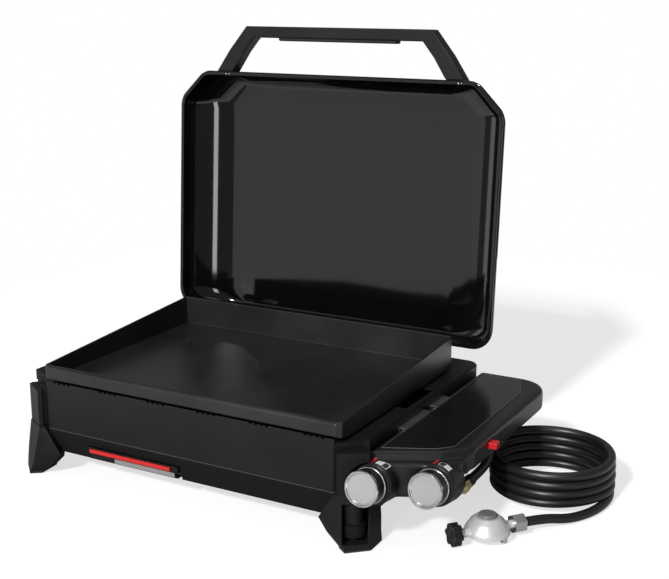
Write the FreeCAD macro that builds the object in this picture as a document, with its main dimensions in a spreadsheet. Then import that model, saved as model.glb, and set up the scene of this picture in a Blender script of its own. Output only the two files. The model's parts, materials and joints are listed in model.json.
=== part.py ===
import FreeCAD, Part
import math
import os
import re
import Sketcher
from FreeCAD import Placement, Rotation, Vector

# Tabletop gas griddle with a hinged lid, a side table with two burner valves, and a regulator hose.
# Lengths are millimetres. X runs to the right, Y to the back, Z up from the ground.
# Each piece is drawn from the middle of the cookbox front, at ground level, and then placed.

doc = FreeCAD.newDocument("Griddle")
sizes = doc.addObject("Spreadsheet::Sheet", "Sizes")

driving_sizes = [
    # Cookbox
    ("side_space", 30.5, "cookbox side beyond the plate"),
    ("rear_space", 60, "cookbox behind the plate"),
    ("box_chamfer", 40, "cut-off front corners, along each side"),
    ("box_corner", 26, "radius of the rear corners"),
    ("sheet", 1.5, "sheet metal of the cookbox"),
    ("bottom_z", 38, "lower edge of the cookbox"),
    ("bend_z", 83, "bend where the front turns inward"),
    ("rim_z", 161, "top of the side ledges"),
    ("panel_z", 168, "top of the front panel"),
    ("tuck", 15, "how far the lower front leans in"),
    ("ledge_reach", 54, "width of the ledge inside the sides"),
    ("vent_width", 6, "notch along the front panel"),
    ("vent_height", 2.5, "depth of a notch"),
    ("vent_pitch", 10, "notch to notch"),
    ("vent_group", 98, "group of notches to group"),
    ("slot_length", 14, "louvre slot"),
    ("slot_width", 3, "louvre slot"),
    ("slot_pitch", 11.7, "louvre to louvre"),
    ("slot_turn", 29, "louvre slots turn from the X axis, degrees"),
    ("slot_front_y", 62, "first louvre"),
    ("slot_rear_y", 332, "first louvre of the rear group"),
    ("lift_gap", 22, "finger opening beside the plate, width"),
    ("lift_length", 104, "finger opening, length"),
    ("lift_y", 193, "finger opening, front end"),
    ("floor_z", 47, "underside of the cookbox floor"),
    ("floor_gap", 0.2, "floor inside the cookbox walls"),
    ("lip_reach", 20, "carrying lip beyond the left side"),
    ("lip_z", 168, "outer edge of the carrying lip"),
    ("lip_drop", 18, "turned-down edge of the carrying lip"),
    ("lip_back", 60, "rear end of the lip from the back of the cookbox"),
    # Griddle plate
    ("plate_width", 575, "plate across its rim"),
    ("plate_depth", 411, "plate rim front to back"),
    ("plate_front_y", 11, "rim behind the front panel"),
    ("plate_wall", 4, "plate steel"),
    ("plate_floor_z", 168, "cooking surface"),
    ("plate_front_z", 194, "front rim"),
    ("plate_back_z", 221, "back rim"),
    ("apron_drop", 23, "front apron below the rim"),
    ("apron_reach", 8.8, "apron in front of the rim"),
    ("apron_corner", 8, "cut-off corners of the apron"),
    ("drain_x", -120, "grease drain from the middle"),
    ("drain_y", 60, "grease drain from the front"),
    ("drain_radius", 13, "grease drain"),
    ("plate_foot_radius", 8, "plate foot"),
    ("plate_foot_inset", 16, "plate foot from the plate's sides"),
    # Burners
    ("burner_gap", 94, "between the two burners"),
    ("burner_span", 190, "burner across its two bars"),
    ("burner_length", 290, "burner bars, front to back"),
    ("burner_bar", 28, "bar width"),
    ("burner_height", 16, "bar height"),
    ("burner_z", 104, "underside of the bars"),
    ("burner_front_y", 100, "front ends of the bars"),
    ("port_radius", 1.2, "flame port"),
    ("port_pitch", 26, "flame port to flame port"),
    ("venturi_radius", 11, "mixing tube"),
    ("venturi_wall", 1.5, "mixing tube wall"),
    ("bracket_sheet", 2, "sheet of the small brackets"),
    # Legs
    ("leg_top_z", 151, "top of the front legs"),
    ("leg_waist_z", 86, "height where the upper leg starts"),
    ("leg_knee_z", 40, "height where the leg is widest"),
    ("pad_height", 3, "rubber pad under each leg"),
    ("window_floor_z", 11, "floor of the leg window"),
    ("window_top_z", 72, "top of the leg window"),
    ("leveller_inset", 14, "levelling screw inside the cookbox side"),
    ("leveller_y", 16, "levelling screw from the front"),
    ("ring_radius", 20, "knurled ring"),
    ("ring_height", 20, "knurled ring"),
    ("ring_lift", 6, "knurled ring above the window floor"),
    ("socket_radius", 16, "socket above the ring"),
    ("stud_radius", 6, "levelling stud"),
    ("run_gap", 0.3, "gap between parts that turn or slide past each other"),
    ("fit_gap", 0.05, "radial gap of a pin in its bore"),
    # Lid
    ("lid_side", 22, "lid rim beyond the cookbox side"),
    ("lid_overhang", 7.4, "closed lid rim in front of the cookbox"),
    ("lid_depth", 80, "lid from its rim to its top"),
    ("lid_shoulder", 70, "radius of the lid sides"),
    ("lid_front_radius", 42, "radius of the lid front and back"),
    ("lid_chamfer", 54, "cut-off front corners of the lid"),
    ("lid_corner", 42, "radius of the rear corners of the lid"),
    ("lid_sheet", 1.5, "lid steel"),
    ("rim_width", 6, "rolled rim, sideways"),
    ("rim_height", 8, "rolled rim, height"),
    ("hinge_inset", 8, "hinge axis in front of the cookbox back"),
    ("hinge_z", 178.4, "hinge axis above ground"),
    ("hinge_back", 6.9, "rim edge from the hinge axis"),
    ("hinge_drop", 4.4, "closed rim plane below the hinge axis"),
    ("hinge_side", 113, "hinges inside the cookbox sides"),
    ("lid_lean", 3.5, "open lid leans past upright, degrees"),
    ("knuckle_radius", 6, "hinge knuckle"),
    ("knuckle_length", 30, "hinge knuckle"),
    ("pin_radius", 3, "hinge pin"),
    ("ear_sheet", 3, "hinge bracket ears"),
    # Handle
    ("handle_reach", 86, "handle in front of the lid edge"),
    ("handle_inset", 78, "outer side of a handle foot inside the lid rim"),
    ("handle_slope", 68, "how far a handle leg leans inwards"),
    ("handle_bow", 3, "outward bow of a handle leg"),
    ("handle_foot", 35, "handle foot along the lid edge"),
    ("handle_screw_gap", 8, "screw to screw in a handle foot"),
    ("handle_screw_rise", 7, "screws above the middle of the bar"),
    ("handle_bar", 21, "handle bar seen from above"),
    ("handle_thick", 28, "handle bar, height"),
    ("handle_rise", 20, "middle of the bar above the rim plane"),
    ("grip_half", 122, "half of the ribbed grip"),
    ("grip_drop", 4, "grip strip under the crossbar"),
    # Side table
    ("table_gap", 4, "table edge beside the cookbox"),
    ("table_width", 130, "table from side to side"),
    ("table_front_y", 31, "front inner corner"),
    ("nose_inset", 34, "outer end of the slanted front edge inside the outer side"),
    ("table_nose_y", 85, "outer end of the slanted front edge"),
    ("table_side_y", 122, "where the outer side starts"),
    ("table_back", 3, "rear edge of the table in front of the cookbox back"),
    ("table_corner", 54, "radius of the outer rear corner"),
    ("table_front_corner", 16, "radius of the front corners"),
    ("table_top_z", 146, "table top"),
    ("table_thick", 36, "table edge height"),
    ("table_skin", 4, "plastic wall of the table"),
    ("table_crown", 9, "rounding of the table edge"),
    ("panel_margin", 28, "frame outside the inset panel"),
    ("panel_side_margin", 7, "frame between panel and cookbox"),
    ("panel_back_margin", 17, "frame behind the inset panel"),
    ("panel_front_margin", 25.5, "frame in front of the inset panel"),
    ("panel_nose", 16, "frame beside the slanted front edge"),
    ("panel_corner", 22, "cut-off rear corner of the inset panel, along the back"),
    ("panel_gap", 0.5, "joint around the inset panel"),
    ("panel_thick", 3, "inset panel"),
    ("panel_sink", 0.6, "panel below the frame"),
    ("plate_a_y", 140, "front bracket plate"),
    ("plate_a_length", 96, "front bracket plate"),
    ("plate_b_y", 258, "rear bracket plate"),
    ("plate_b_length", 56, "rear bracket plate"),
    # Knobs and valves
    ("knob_inset", 14, "left knob outside the table's inner edge"),
    ("knob_left_y", 10.7, "left bezel from the front"),
    ("knob_spacing", 83, "left knob to right knob"),
    ("knob_right_y", 51, "right bezel from the front"),
    ("knob_z", 104.7, "bezel centre above ground"),
    ("knob_tilt", 8, "knobs look up, degrees"),
    ("boss_radius", 33, "round boss behind a knob"),
    ("boss_length", 46, "round boss behind a knob"),
    ("boss_face", 4, "front wall of a boss"),
    ("bezel_radius", 30.5, "black bezel ring"),
    ("bezel_inner", 24, "opening of the bezel ring"),
    ("bezel_thick", 2.5, "bezel ring"),
    ("skirt_radius", 28.3, "bright ring at the foot of a knob"),
    ("skirt_thick", 3, "bright ring"),
    ("knob_radius", 27, "knob body"),
    ("knob_length", 19, "knob body"),
    ("cap_radius", 27.5, "metal cap"),
    ("cap_thick", 5, "metal cap with its raised rim"),
    ("cap_rim", 3, "raised rim of the cap"),
    ("cap_dish", 1.8, "depth of the cap face"),
    ("knob_travel", 4, "push before a knob turns"),
    ("stem_radius", 4, "valve stem"),
    ("valve_radius", 9, "valve body"),
    ("valve_length", 34, "valve body"),
    ("collar_radius", 8, "stem collar that carries the return spring"),
    ("manifold_radius", 7, "gas manifold"),
    ("gas_tube_radius", 4, "aluminium feed tube"),
    ("venturi_left_y", 131, "left mixing tube from the front"),
    ("venturi_right_y", 211, "right mixing tube from the front"),
    ("venturi_z", 91, "mixing tube axis"),
    # Igniter
    ("button_y", 191, "igniter button"),
    ("button_z", 129, "igniter button"),
    ("button_wide", 16, "igniter button along the table edge"),
    ("button_tall", 10.5, "igniter button"),
    ("button_proud", 13, "button in front of the table edge"),
    ("button_travel", 5, "button travel"),
    ("igniter_radius", 8.5, "igniter body"),
    ("igniter_length", 34, "igniter body"),
    # Drip tray
    ("tray_left_x", -197, "left end of the tray front"),
    ("tray_right_x", -11, "right end of the tray front"),
    ("tray_face_low", 52, "lower edge of the tray front"),
    ("tray_face_high", 63, "upper edge of the tray front"),
    ("tray_frame_z", 42, "underside of the sliding frame"),
    ("tray_frame", 2, "thickness of the sliding frame"),
    ("tray_depth", 250, "tray front to back"),
    ("tray_inset", 6, "back of the tray front behind the panel"),
    ("tray_travel", 190, "how far the tray pulls out"),
    ("foil", 1, "wall of the aluminium pan"),
    ("foil_floor_z", 34, "underside of the aluminium pan"),
    ("pan_lip_x", -142, "left end of the pan's front lip"),
    ("pan_lip_drop", 0.5, "pan's front lip below its rim"),
    ("basin_front_y", 30, "front of the pan's basin"),
    ("strip_height", 6.5, "red strip"),
    ("strip_proud", 3, "red strip in front of the tray"),
    # Hose and regulator
    ("hose_radius", 7.5, "gas hose"),
    ("coil_x", 501, "coil centre from the middle"),
    ("coil_y", 352, "coil centre from the front"),
    ("coil_radius", 97, "coil, middle of the outer turns"),
    ("coil_height", 80, "height of the standing coil"),
    ("regulator_x", 476, "regulator disc from the middle"),
    ("regulator_y", 127, "regulator disc from the front"),
    ("regulator_z", 18.3, "regulator axis above ground"),
    ("regulator_turn", 50.9, "regulator axis from the X axis, degrees"),
    ("disc_radius", 35, "regulator disc"),
    ("nut_flats", 26, "union nut across its flats"),
    ("nut_length", 20, "union nut"),
    ("wheel_radius", 18, "hand wheel over its lobes"),
    ("wheel_thick", 14, "hand wheel"),
    ("inlet_offset", 21, "gas inlet outside the right knob"),
    ("inlet_y", 122, "end of the inlet nut from the front"),
    ("inlet_nut", 20, "inlet nut across its flats"),
    ("inlet_nut_length", 14, "inlet nut"),
    ("adapter_length", 22, "hose end sleeve"),
]

derived_sizes = [
    ("box_width", "=plate_width + 2 * side_space", "cookbox across its sides"),
    ("half_box", "=box_width / 2", "half of the cookbox"),
    ("box_depth", "=plate_front_y + plate_depth + rear_space", "cookbox front to back"),
    ("hinge_y", "=box_depth - hinge_inset", "hinge axis from the front"),
    ("hinge_x", "=half_box - hinge_side", "hinges from the middle"),
    ("lid_width", "=box_width + 2 * lid_side", "lid across its rim"),
    ("lid_length", "=hinge_y - hinge_back + lid_overhang", "lid rim from hinge edge to front edge"),
    ("handle_foot_x", "=lid_width / 2 - handle_inset", "outer side of a handle foot from the middle"),
    ("handle_top_x", "=handle_foot_x - handle_slope", "outer corner of the crossbar from the middle"),
    ("handle_screw_x", "=handle_foot_x - handle_foot / 2", "middle of a handle foot"),
    ("burner_x", "=(burner_gap + burner_span) / 2", "burner centre from the middle"),
    ("burner_y", "=burner_front_y + burner_length / 2", "burner centre from the front"),
    ("leveller_x", "=half_box - leveller_inset", "levelling screw from the middle"),
    ("table_inner_x", "=half_box + table_gap", "table edge beside the cookbox"),
    ("table_outer_x", "=table_inner_x + table_width", "outer table edge"),
    ("table_nose_x", "=table_outer_x - nose_inset", "outer end of the slanted front edge"),
    ("table_back_y", "=box_depth - table_back", "rear edge of the table"),
    ("knob_left_x", "=table_inner_x + knob_inset", "left knob"),
    ("knob_right_x", "=knob_left_x + knob_spacing", "right knob"),
    ("inlet_x", "=knob_right_x + inlet_offset", "gas inlet from the middle"),
    ("middle_x", "=-(table_outer_x + button_proud - lid_width / 2) / 2", "cookbox middle in the part's frame"),
    ("front_y", "=-(hinge_y + lid_depth + lid_length * sin(lid_lean * 1deg) - 32) / 2",
     "cookbox front in the part's frame"),
    ("tuck_slope", "=tuck / (bend_z - bottom_z)", "lean of the lower front"),
    ("tuck_sheet", "=sheet * sqrt(1 + tuck_slope * tuck_slope)", "leaning sheet, measured along Y"),
    ("floor_top", "=floor_z + sheet", "upper face of the cookbox floor"),
    ("plate_base_z", "=plate_floor_z - plate_wall", "underside of the plate"),
    ("apron_low_z", "=plate_front_z - apron_drop", "lower edge of the apron"),
    ("plate_back_y", "=plate_front_y + plate_depth", "rear of the plate"),
    ("shell_half", "=lid_width / 2 - rim_width + lid_sheet", "half of the lid shell"),
    ("lid_front", "=hinge_back + lid_length", "front rim edge from the hinge axis"),
    ("table_low_z", "=table_top_z - table_thick", "underside of the table"),
    ("tray_middle", "=(tray_left_x + tray_right_x) / 2", "middle of the tray"),
    ("tray_width", "=tray_right_x - tray_left_x", "tray front"),
    ("foil_top", "=tray_frame_z + tray_frame", "rim of the aluminium pan"),
    ("chute_low_z", "=foil_top + foil + 1.5", "lower end of the grease chute"),
]

for row, (alias, value, note) in enumerate(driving_sizes + derived_sizes, start=1):
    sizes.set("A%d" % row, note)
    sizes.set("B%d" % row, str(value))
    sizes.setAlias("B%d" % row, alias)
doc.recompute()
size_names = {alias for alias, value, note in driving_sizes + derived_sizes}


def linked(text):
    """The same expression with each size name pointing at the spreadsheet."""
    def link(match):
        word = match.group(0)
        return "Sizes." + word if word in size_names else word
    return re.sub(r"[A-Za-z_][A-Za-z_0-9]*", link, str(text))


def amount(text):
    """The present value of an expression, in millimetres or degrees."""
    found = sizes.evalExpression(linked(text))
    return float(getattr(found, "Value", found))


def bind(thing, **properties):
    for name, text in properties.items():
        thing.setExpression(name, linked(text))
    return thing


def move(thing, x="0", y="0", z="0"):
    thing.setExpression("Placement.Base.x", linked(x))
    thing.setExpression("Placement.Base.y", linked(y))
    thing.setExpression("Placement.Base.z", linked(z))
    return thing


def turn(thing, axis, degrees):
    """Turn about an axis, with the angle tied to the sizes."""
    thing.Placement = Placement(thing.Placement.Base, Rotation(Vector(*axis), amount(degrees)))
    thing.setExpression("Placement.Rotation.Angle", linked(degrees))
    return thing


# Primitives and booleans

def block(x, y, z, long, deep, high, name="Block"):
    thing = doc.addObject("Part::Box", name)
    bind(thing, Length=long, Width=deep, Height=high)
    return move(thing, x, y, z)


def rod(x, y, z, radius, length, axis="z", name="Rod"):
    thing = doc.addObject("Part::Cylinder", name)
    bind(thing, Radius=radius, Height=length)
    if axis == "x":
        turn(thing, (0, 1, 0), "90")
    if axis == "y":
        turn(thing, (-1, 0, 0), "90")
    return move(thing, x, y, z)


def fuse(pieces, name="Joined"):
    thing = doc.addObject("Part::MultiFuse", name)
    thing.Shapes = pieces
    return thing


def cut(base, tools, name="Cut"):
    for tool in tools:
        thing = doc.addObject("Part::Cut", name)
        thing.Base = base
        thing.Tool = tool
        base = thing
    return base


def common(pieces, name="Shared"):
    thing = doc.addObject("Part::MultiCommon", name)
    thing.Shapes = pieces
    return thing


def mirrored(source, normal, x="0", y="0", name="Mirrored"):
    thing = doc.addObject("Part::Mirroring", name)
    thing.Source = source
    thing.Normal = Vector(*normal)
    thing.setExpression("Base.x", linked(x))
    thing.setExpression("Base.y", linked(y))
    return thing


# Sketches and bodies

def new_body(name="Body"):
    return doc.addObject("PartDesign::Body", name)


def plane_of(body, role):
    for feature in body.Origin.OriginFeatures:
        if feature.Role == role + "_Plane":
            return feature
    raise ValueError(role)


def sketch_on(body, plane, offset="0", name="Outline"):
    sketch = body.newObject("Sketcher::SketchObject", name)
    sketch.AttachmentSupport = [(plane_of(body, plane), "")]
    sketch.MapMode = "FlatFace"
    sketch.setExpression("AttachmentOffset.Base.z", linked(offset))
    return sketch


def draw_outline(sketch, corners):
    """A closed outline of straight lines through corners given as pairs of expressions."""
    spots = [Vector(amount(u), amount(v), 0) for u, v in corners]
    count = len(spots)
    first = sketch.GeometryCount
    for i in range(count):
        sketch.addGeometry(Part.LineSegment(spots[i], spots[(i + 1) % count]), False)
    for i in range(count):
        sketch.addConstraint(Sketcher.Constraint("Coincident", first + i, 2, first + (i + 1) % count, 1))
    for i, (u, v) in enumerate(corners):
        for kind, text, value in (("DistanceX", u, spots[i].x), ("DistanceY", v, spots[i].y)):
            place = sketch.addConstraint(Sketcher.Constraint(kind, -1, 1, first + i, 1, value))
            sketch.setExpression("Constraints[%d]" % place, linked(text))


def draw_circle(sketch, u, v, radius):
    centre = Vector(amount(u), amount(v), 0)
    ring = sketch.addGeometry(Part.Circle(centre, Vector(0, 0, 1), amount(radius)), False)
    for kind, text, value in (("DistanceX", u, centre.x), ("DistanceY", v, centre.y)):
        place = sketch.addConstraint(Sketcher.Constraint(kind, -1, 1, ring, 3, value))
        sketch.setExpression("Constraints[%d]" % place, linked(text))
    place = sketch.addConstraint(Sketcher.Constraint("Radius", ring, amount(radius)))
    sketch.setExpression("Constraints[%d]" % place, linked(radius))


def pad(body, plane, corners, length, offset="0", middle=False, circle=None):
    sketch = sketch_on(body, plane, offset)
    if circle:
        draw_circle(sketch, *circle)
    else:
        draw_outline(sketch, corners)
    feature = body.newObject("PartDesign::Pad", "Pad")
    feature.Profile = sketch
    feature.Midplane = middle
    bind(feature, Length=length)
    return feature


def pocket(body, plane, corners, length, offset="0", middle=False, circle=None):
    """Cut away from the sketch against its plane's normal, and check that something went."""
    doc.recompute()
    before = body.Shape.Volume
    sketch = sketch_on(body, plane, offset)
    if circle:
        draw_circle(sketch, *circle)
    else:
        draw_outline(sketch, corners)
    feature = body.newObject("PartDesign::Pocket", "Pocket")
    feature.Profile = sketch
    feature.Midplane = middle
    bind(feature, Length=length)
    doc.recompute()
    if not body.Shape.Volume < before - 0.01:
        raise ValueError("a pocket cut nothing")
    return feature


def round_edges(body, radius, wanted, kind="Fillet"):
    """Round or chamfer the edges of the body's last shape that the test accepts."""
    doc.recompute()
    base = body.Tip
    names = []
    for number, edge in enumerate(base.Shape.Edges, start=1):
        if wanted(edge):
            names.append("Edge%d" % number)
    if not names:
        raise ValueError("no edge to round")
    feature = body.newObject("PartDesign::" + kind, kind)
    feature.Base = (base, names)
    bind(feature, **{"Radius" if kind == "Fillet" else "Size": radius})
    return feature


def revolve(body, corners):
    """Turn an outline of (radius, height) corners about the body's own Z axis."""
    sketch = sketch_on(body, "XZ")
    draw_outline(sketch, corners)
    feature = body.newObject("PartDesign::Revolution", "Turned")
    feature.Profile = sketch
    feature.ReferenceAxis = (sketch, ["V_Axis"])
    feature.Angle = 360
    return feature


def rectangle(x0, y0, x1, y1):
    return [(x0, y0), (x1, y0), (x1, y1), (x0, y1)]


def is_upright(edge):
    low, high = edge.BoundBox.ZMin, edge.BoundBox.ZMax
    return edge.BoundBox.XLength < 0.01 and edge.BoundBox.YLength < 0.01 and high - low > 1


# Finished pieces

parts = []


def finished(thing, label, x="0", y="0", z="0", placed=False):
    """Name a piece and, unless its source is placed already, put it in the part's frame."""
    thing.Label = label
    if not placed:
        move(thing, "middle_x + " + x, "front_y + " + y, z)
    parts.append(thing)
    return thing


def shaped(shape, label):
    """A piece whose shape is made directly, from sizes read from the sheet."""
    thing = doc.addObject("Part::Feature", label)
    thing.Shape = shape
    return finished(thing, label)


def route(points, radii):
    """Straight runs joined by tangent arcs."""
    edges = []
    start = points[0]
    for i in range(1, len(points) - 1):
        before = (points[i - 1] - points[i]).normalize()
        after = (points[i + 1] - points[i]).normalize()
        half = (math.pi - before.getAngle(after)) / 2
        reach = radii[i - 1] * math.tan(half)
        enter = points[i] + before * reach
        leave = points[i] + after * reach
        middle = (before + after).normalize()
        apex = points[i] + middle * (radii[i - 1] / math.cos(half) - radii[i - 1])
        edges.append(Part.LineSegment(start, enter).toShape())
        edges.append(Part.Arc(enter, apex, leave).toShape())
        start = leave
    edges.append(Part.LineSegment(start, points[-1]).toShape())
    return Part.Wire(edges)


def pipe(points, radii, radius):
    path = route(points, radii)
    ring = Part.Wire([Part.Circle(points[0], points[1] - points[0], radius).toShape()])
    solid = path.makePipeShell([ring], True, False)
    wanted = math.pi * radius * radius * path.Length
    if abs(solid.Volume / wanted - 1) > 0.01:
        raise ValueError("a tube has the wrong volume")
    return solid, path.Length


def hose(points, radius, label):
    """A free stretch of hose: each arc is as large as its two runs allow."""
    radii = []
    for i in range(1, len(points) - 1):
        run_in = points[i] - points[i - 1]
        run_out = points[i + 1] - points[i]
        half = run_in.getAngle(run_out) / 2
        radii.append(0.45 * min(run_in.Length, run_out.Length) / math.tan(half))
    solid, length = pipe(points, radii, radius)
    print(label, "length %.0f" % length, "radii", ["%.0f" % r for r in radii])
    return shaped(solid, label)


def spot(x, y, z):
    return Vector(amount(x), amount(y), amount(z))


# Cookbox

def cookbox_form(inset, low, name):
    """The cookbox outline as a solid, made smaller all round by the inset."""
    body = new_body(name)
    side = "(half_box - %s)" % inset
    corner = "(box_chamfer - 0.586 * %s)" % inset
    back = "(box_depth - %s)" % inset
    outline = [
        ("-%s + %s" % (side, corner), inset),
        ("%s - %s" % (side, corner), inset),
        (side, "%s + %s" % (corner, inset)),
        (side, back),
        ("-" + side, back),
        ("-" + side, "%s + %s" % (corner, inset)),
    ]
    pad(body, "XY", outline, "panel_z - (%s)" % low, low)
    rear = amount(back)
    round_edges(body, "box_corner - %s" % inset,
                lambda edge: is_upright(edge) and edge.BoundBox.YMin > rear - 1)
    lean = "(%s * tuck_sheet / sheet)" % inset
    foot = "tuck_slope * (bend_z - (%s)) + %s" % (low, lean)
    wedge = [("-1", "bend_z"), ("-1", low), (foot, low), (lean, "bend_z")]
    pocket(body, "YZ", wedge, "box_width * 2", middle=True)
    return body


box_outer = cookbox_form("0", "bottom_z", "CookboxOuter")
box_inner = cookbox_form("sheet", "bottom_z - 10", "CookboxInner")
shell = cut(box_outer, [box_inner])
side_trim = block("-box_width", "sheet", "rim_z - sheet", "box_width * 2", "box_depth", "20")
notches = []
group_count = int(amount("(box_width - box_chamfer) / vent_group"))
for i in range(group_count):
    for j in range(4):
        start = "%s * vent_group + %s * vent_pitch - vent_width / 2" % (i - (group_count - 1) / 2, j - 1.5)
        notches.append(block(start, "-1", "panel_z - vent_height", "vent_width", "sheet + 2", "vent_height + 1"))
tray_door = block("tray_left_x - 1", "-1", "bottom_z - 1", "tray_width + 2", "tuck + 20",
                  "tray_face_high + 1 - bottom_z + 1")
tube_doors = []
for mix_y in ("venturi_left_y", "venturi_right_y"):
    tube_doors.append(rod("half_box - 20", mix_y, "venturi_z", "venturi_radius + run_gap", "40", "x"))
wire_door = rod("half_box - 20", "button_y", "button_z - 10", "6", "40", "x")
screw_place = ("half_box - box_chamfer / 2", "box_chamfer / 2", "leg_top_z - 24")


def across_corner(radius, length, start):
    """A rod square to the cut-off corner, starting this far outside the cookbox."""
    thing = doc.addObject("Part::Cylinder", "CornerRod")
    bind(thing, Radius=radius, Height=length)
    thing.Placement = Placement(Vector(), Rotation(Vector(0, 0, 1), Vector(1, -1, 0)))
    x, y, z = screw_place
    return move(thing, "%s + 0.7071 * (%s)" % (x, start), "%s - 0.7071 * (%s)" % (y, start), z)


corner_hole = across_corner("2.5 + fit_gap", "sheet + 4", "-sheet - 2")
shell = cut(shell, [side_trim, fuse(notches), tray_door] + tube_doors
            + [wire_door, corner_hole, mirrored(corner_hole, (1, 0, 0))])
finished(shell, "cookbox_shell")

ledge_body = new_body("LedgeForm")
ledge_side = "(half_box - sheet)"
ledge_corner = "(box_chamfer - 0.586 * sheet)"
ledge_back = "(box_depth - sheet)"
pad(ledge_body, "XY", [
    ("-%s + %s" % (ledge_side, ledge_corner), "sheet"),
    ("%s - %s" % (ledge_side, ledge_corner), "sheet"),
    (ledge_side, "%s + sheet" % ledge_corner),
    (ledge_side, ledge_back),
    ("-" + ledge_side, ledge_back),
    ("-" + ledge_side, "%s + sheet" % ledge_corner),
], "sheet", "rim_z - sheet")
ledge_rear = amount(ledge_back)
round_edges(ledge_body, "box_corner - sheet",
            lambda edge: is_upright(edge) and edge.BoundBox.YMin > ledge_rear - 1)
pocket(ledge_body, "XY", rectangle("-(half_box - ledge_reach)", "40", "half_box - ledge_reach",
                                   "plate_back_y - 24"), "sheet + 2", "rim_z + 1")
openings = []
for side in (-1, 1):
    for first, count in (("slot_front_y", 10), ("slot_rear_y", 6)):
        for i in range(count):
            slot = block("0", "0", "rim_z - 5", "slot_length", "slot_width", "10")
            turn(slot, (0, 0, side), "slot_turn")
            away = "half_box - 20" if side > 0 else "-half_box + 20 - slot_length"
            openings.append(move(slot, away, "%s + %d * slot_pitch" % (first, i), "rim_z - 5"))
    away = "half_box - 34" if side > 0 else "-half_box + 34 - lift_gap"
    openings.append(block(away, "lift_y", "rim_z - 5", "lift_gap", "lift_length", "10"))
lip = new_body("CarryingLip")
lip_edge = "-half_box - lip_reach"
pad(lip, "XZ", [
    ("-half_box + sheet", "rim_z"),
    (lip_edge, "lip_z"),
    (lip_edge, "lip_z - lip_drop"),
    (lip_edge + " + sheet", "lip_z - lip_drop"),
    (lip_edge + " + sheet", "lip_z - sheet * 1.4"),
    ("-half_box + sheet", "rim_z - sheet"),
], "box_depth - lip_back - box_chamfer", "-(box_depth - lip_back)")
finished(fuse([cut(ledge_body, [fuse(openings)]), lip]), "top_ledge")

floor_body = new_body("FloorForm")
floor_front = "(tuck_slope * (bend_z - floor_z) + tuck_sheet + floor_gap)"
floor_side = "(half_box - sheet - floor_gap)"
floor_back = "(box_depth - sheet - floor_gap)"
floor_cut = "(box_chamfer + 4 * floor_gap - %s)" % floor_front
pad(floor_body, "XY", [
    ("-%s + %s" % (floor_side, floor_cut), floor_front),
    ("%s - %s" % (floor_side, floor_cut), floor_front),
    (floor_side, "%s + %s" % (floor_front, floor_cut)),
    (floor_side, "%s - box_corner" % floor_back),
    ("%s - box_corner" % floor_side, floor_back),
    ("-%s + box_corner" % floor_side, floor_back),
    ("-" + floor_side, "%s - box_corner" % floor_back),
    ("-" + floor_side, "%s + %s" % (floor_front, floor_cut)),
], "sheet", "floor_z")
pocket(floor_body, "XY", rectangle("drain_x - 22", "drain_y - 18", "drain_x + 22", "drain_y + 22"),
       "sheet + 2", "floor_top + 1")
air_holes = []
for i in range(6):
    for j in range(3):
        air_holes.append(rod("(%d - 2.5) * 80" % i, "130 + %d * 100" % j, "floor_z - 2", "9", "10"))
finished(cut(floor_body, [fuse(air_holes)]), "cookbox_floor")

# Griddle plate

plate_body = new_body("PlateForm")
side_outline = [
    ("plate_front_y + 14", "plate_base_z"),
    ("plate_front_y - apron_reach + 3", "apron_low_z - 2"),
    ("plate_front_y - apron_reach", "apron_low_z"),
    ("plate_front_y - apron_reach", "plate_front_z - 4"),
    ("plate_front_y - apron_reach + 4", "plate_front_z"),
    ("plate_front_y + 4", "plate_front_z"),
    ("plate_back_y", "plate_back_z"),
    ("plate_back_y", "plate_base_z"),
]
pad(plate_body, "YZ", side_outline, "plate_width", middle=True)
inner_outline = [
    ("plate_front_y + 18", "plate_floor_z"),
    ("plate_front_y + 1", "apron_low_z + 3"),
    ("plate_front_y", "plate_front_z + 5"),
    ("plate_front_y", "plate_back_z + 5"),
    ("plate_back_y - plate_wall", "plate_back_z + 5"),
    ("plate_back_y - plate_wall", "plate_floor_z"),
]
pocket(plate_body, "YZ", inner_outline, "plate_width - 2 * plate_wall", middle=True)
pocket(plate_body, "XY", None, "plate_wall + 4", "plate_floor_z + 1",
       circle=("drain_x", "drain_y", "drain_radius"))
apron_front = "(plate_front_y - apron_reach)"
for side in (-1, 1):
    end_x = "%d * (plate_width / 2 + 1)" % side
    pocket(plate_body, "XY", [
        ("%d * (plate_width / 2 - apron_corner - 1)" % side, apron_front + " - 1"),
        (end_x, apron_front + " - 1"),
        (end_x, apron_front + " + apron_corner + 1"),
    ], "plate_wall * 10", "plate_front_z + 1")
plate_rear = amount("plate_back_y")
round_edges(plate_body, "plate_wall * 2",
            lambda edge: is_upright(edge) and abs(edge.BoundBox.YMin - plate_rear) < 1)
finished(plate_body, "griddle_plate")

feet = []
for side in (-1, 1):
    for y in ("plate_front_y + plate_foot_inset + 12", "plate_back_y - plate_foot_inset"):
        x = "%d * (plate_width / 2 - plate_foot_inset)" % side
        feet.append(rod(x, y, "rim_z", "plate_foot_radius", "plate_base_z - rim_z"))
finished(fuse(feet), "plate_feet")

chute_outer = block("drain_x - 19", "drain_y - 15", "chute_low_z", "38", "34",
                    "plate_base_z - run_gap - chute_low_z")
chute_inner = block("drain_x - 17.5", "drain_y - 13.5", "chute_low_z - 1", "35", "31", "200")
chute_flange = cut(block("drain_x - 25", "drain_y - 21", "floor_top", "50", "46", "sheet"),
                   [block("drain_x - 18", "drain_y - 14", "floor_z", "36", "32", "10")])
finished(fuse([cut(chute_outer, [chute_inner]), chute_flange]), "grease_chute")

# Burners

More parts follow.
